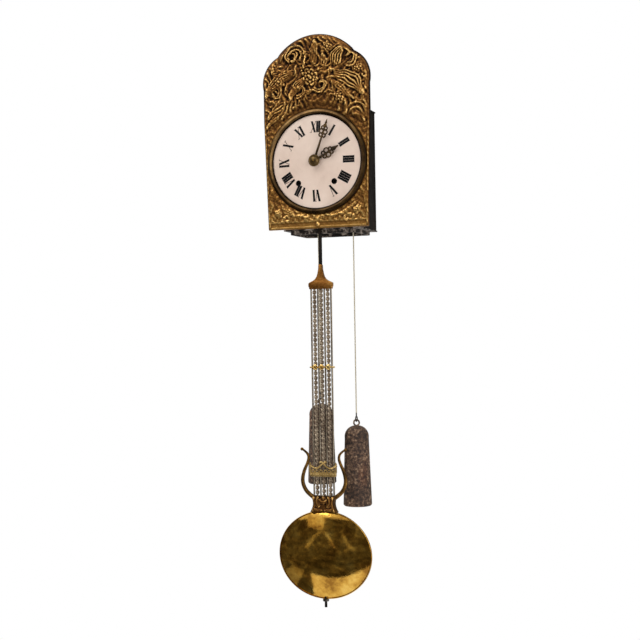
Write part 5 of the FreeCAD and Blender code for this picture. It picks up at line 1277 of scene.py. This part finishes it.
def lamp(name, place, aim, size, power, glossy=True):
    data = bpy.data.lights.new(name, "AREA")
    data.shape = "RECTANGLE"
    data.size, data.size_y = size
    data.energy = power
    light = bpy.data.objects.new(name, data)
    bpy.context.scene.collection.objects.link(light)
    light.location = place
    light.rotation_euler = (Vector(place) - Vector(aim)).to_track_quat("Z", "Y").to_euler()
    light.visible_glossy = glossy


def paleFloor(values):
    choose()
    bpy.ops.mesh.primitive_plane_add(size=values["floorSize"], location=(0, 0, values["floorHeight"]))
    floor = bpy.context.object
    floor.name = "paleFloor"
    surface = bpy.data.materials.new("floorPaint")
    surface.use_nodes = True
    shader = surface.node_tree.nodes["Principled BSDF"]
    setInput(shader.inputs["Base Color"], values["pale"])
    setInput(shader.inputs["Roughness"], 0.7)
    spot = addNode(shader, "ShaderNodeTexCoord").outputs["Object"]
    far = addNode(shader, "ShaderNodeVectorMath", {"operation": "LENGTH"}, [spot]).outputs["Value"]
    path = addNode(shader, "ShaderNodeLightPath").outputs
    seen = mathOf("MULTIPLY", spread(far, 0.0, 1.0, *values["fade"]), path["Is Camera Ray"])
    shown = mathOf("MAXIMUM", seen, path["Is Glossy Ray"])
    glow = addNode(shader, "ShaderNodeEmission", Color=(1, 1, 1, 1), Strength=values["white"])
    mix = addNode(shader, "ShaderNodeMixShader", None, (shown, shader.outputs[0], glow.outputs[0]))
    setInput(surface.node_tree.nodes["Material Output"].inputs["Surface"], mix.outputs[0])
    floor.data.materials.append(surface)


def shadeCard(name, points, bright, values):
    # a dim backdrop that only the polished metal sees; a bright card is more even
    card = newObject(name, points, [], [range(len(points))])
    dim = bpy.data.materials.new(name)
    dim.use_nodes = True
    output = dim.node_tree.nodes["Material Output"]
    folds = cloud(addNode(output, "ShaderNodeTexCoord").outputs["Object"], 2.2, 8.0, 0.75)
    shares = (0.2, 0.8, 3.4) if bright <= 1 else (0.6, 1.0, 1.5)
    stops = [(place, tuple(c * share * bright for c in values["shadeTone"]) + (1,))
             for place, share in zip((0.4, 0.54, 0.7), shares)]
    glow = addNode(output, "ShaderNodeEmission", Strength=1.0, Color=colourBy(folds, stops))
    setInput(output.inputs["Surface"], glow.outputs[0])
    card.data.materials.append(dim)
    card.visible_camera = card.visible_diffuse = card.visible_shadow = card.visible_transmission = False


def paleWorld(values):
    world = bpy.data.worlds.new("paleRoom")
    bpy.context.scene.world = world
    world.use_nodes = True
    back = world.node_tree.nodes["Background"]
    path = addNode(back, "ShaderNodeLightPath").outputs
    shows = mathOf("MAXIMUM", path["Is Camera Ray"], path["Is Glossy Ray"])
    shows = mathOf("MAXIMUM", shows, path["Is Transmission Ray"])
    level = addNode(back, "ShaderNodeMapRange", Value=shows, To_Min=values["room"], To_Max=values["white"])
    setInput(back.inputs["Color"], (1, 1, 1, 1))
    setInput(back.inputs["Strength"], level.outputs["Result"])


def onWall(depth, *spots):
    return [(x, depth, z) for x, z in spots]


def onFloor(height, *spots):
    return [(x, y, height) for x, y in spots]


paleFloor(stageValues)
paleWorld(stageValues)
wall, ground, top = stageValues["shadeDepth"], stageValues["floorHeight"] + 0.01, stageValues["shadeTop"]
nearWall = wall + 0.1
# each card's corners in metres, and how bright it is
shadeCards = {
    "dimWall": (onWall(wall, (-7, ground), (7, ground), (7, top), (-7, top)), 1.0),
    "dimFloor": (onFloor(ground, (-7, wall), (7, wall), (7, -5.1), (4.1, -5.1), (0.65, -1.77), (-0.13, -1.3),
                         (-7, -1.3)), 0.8),
    "dimSide": (onFloor(ground, (-7, -1.3), (-0.82, -1.3), (-0.25, 0.1), (-7, 0.1)), 0.7),
    "dimLeft": ([(-7, wall, ground), (-7, 0.5, ground), (-7, 0.5, top), (-7, wall, top)], 1.0),
    "dimBack": (onWall(3, (0.6, ground), (7, ground), (7, top), (0.6, top)), 1.0),
    "paleCornerLeft": (onWall(nearWall, (-4.9, -1.6), (-4.6, -1.6), (-2.25, 1.0), (-2.45, 1.0)), 5.0),
    "paleCornerRight": (onWall(nearWall, (-0.8, -1.2), (-0.62, -1.2), (-1.85, 0.9), (-2.1, 0.9)), 4.5),
    "paleCornerFar": (onWall(nearWall, (1.1, -1.4), (1.4, -1.4), (-0.1, 0.7), (-0.3, 0.7)), 3.0),
    "paleWindow": (onWall(nearWall, (-4.6, 1.5), (-2.3, 1.2), (-2.0, 3), (-5.4, 3)), 5.5),
    "paleMat": (onFloor(ground + 0.01, (-1.72, -1.28), (-1.11, -1.36), (-0.72, -0.06), (-1.31, 0.1)), 2.2),
}
for name, (points, bright) in shadeCards.items():
    shadeCard(name, points, bright, stageValues)
lamp("mainSoftbox", (-1.6, -2.5, 2.35), (0, 0, -0.4), (2.2, 2.2), 50)
lamp("sideSoftbox", (2.0, -1.8, -0.2), (0, 0, -0.5), (1.0, 1.8), 16)
lamp("lowSoftbox", (-0.6, -2.4, -1.2), (0, 0, -0.8), (1.6, 0.8), 17, glossy=False)
bpy.context.scene.view_settings.view_transform = "Standard"
print("light and floor set")
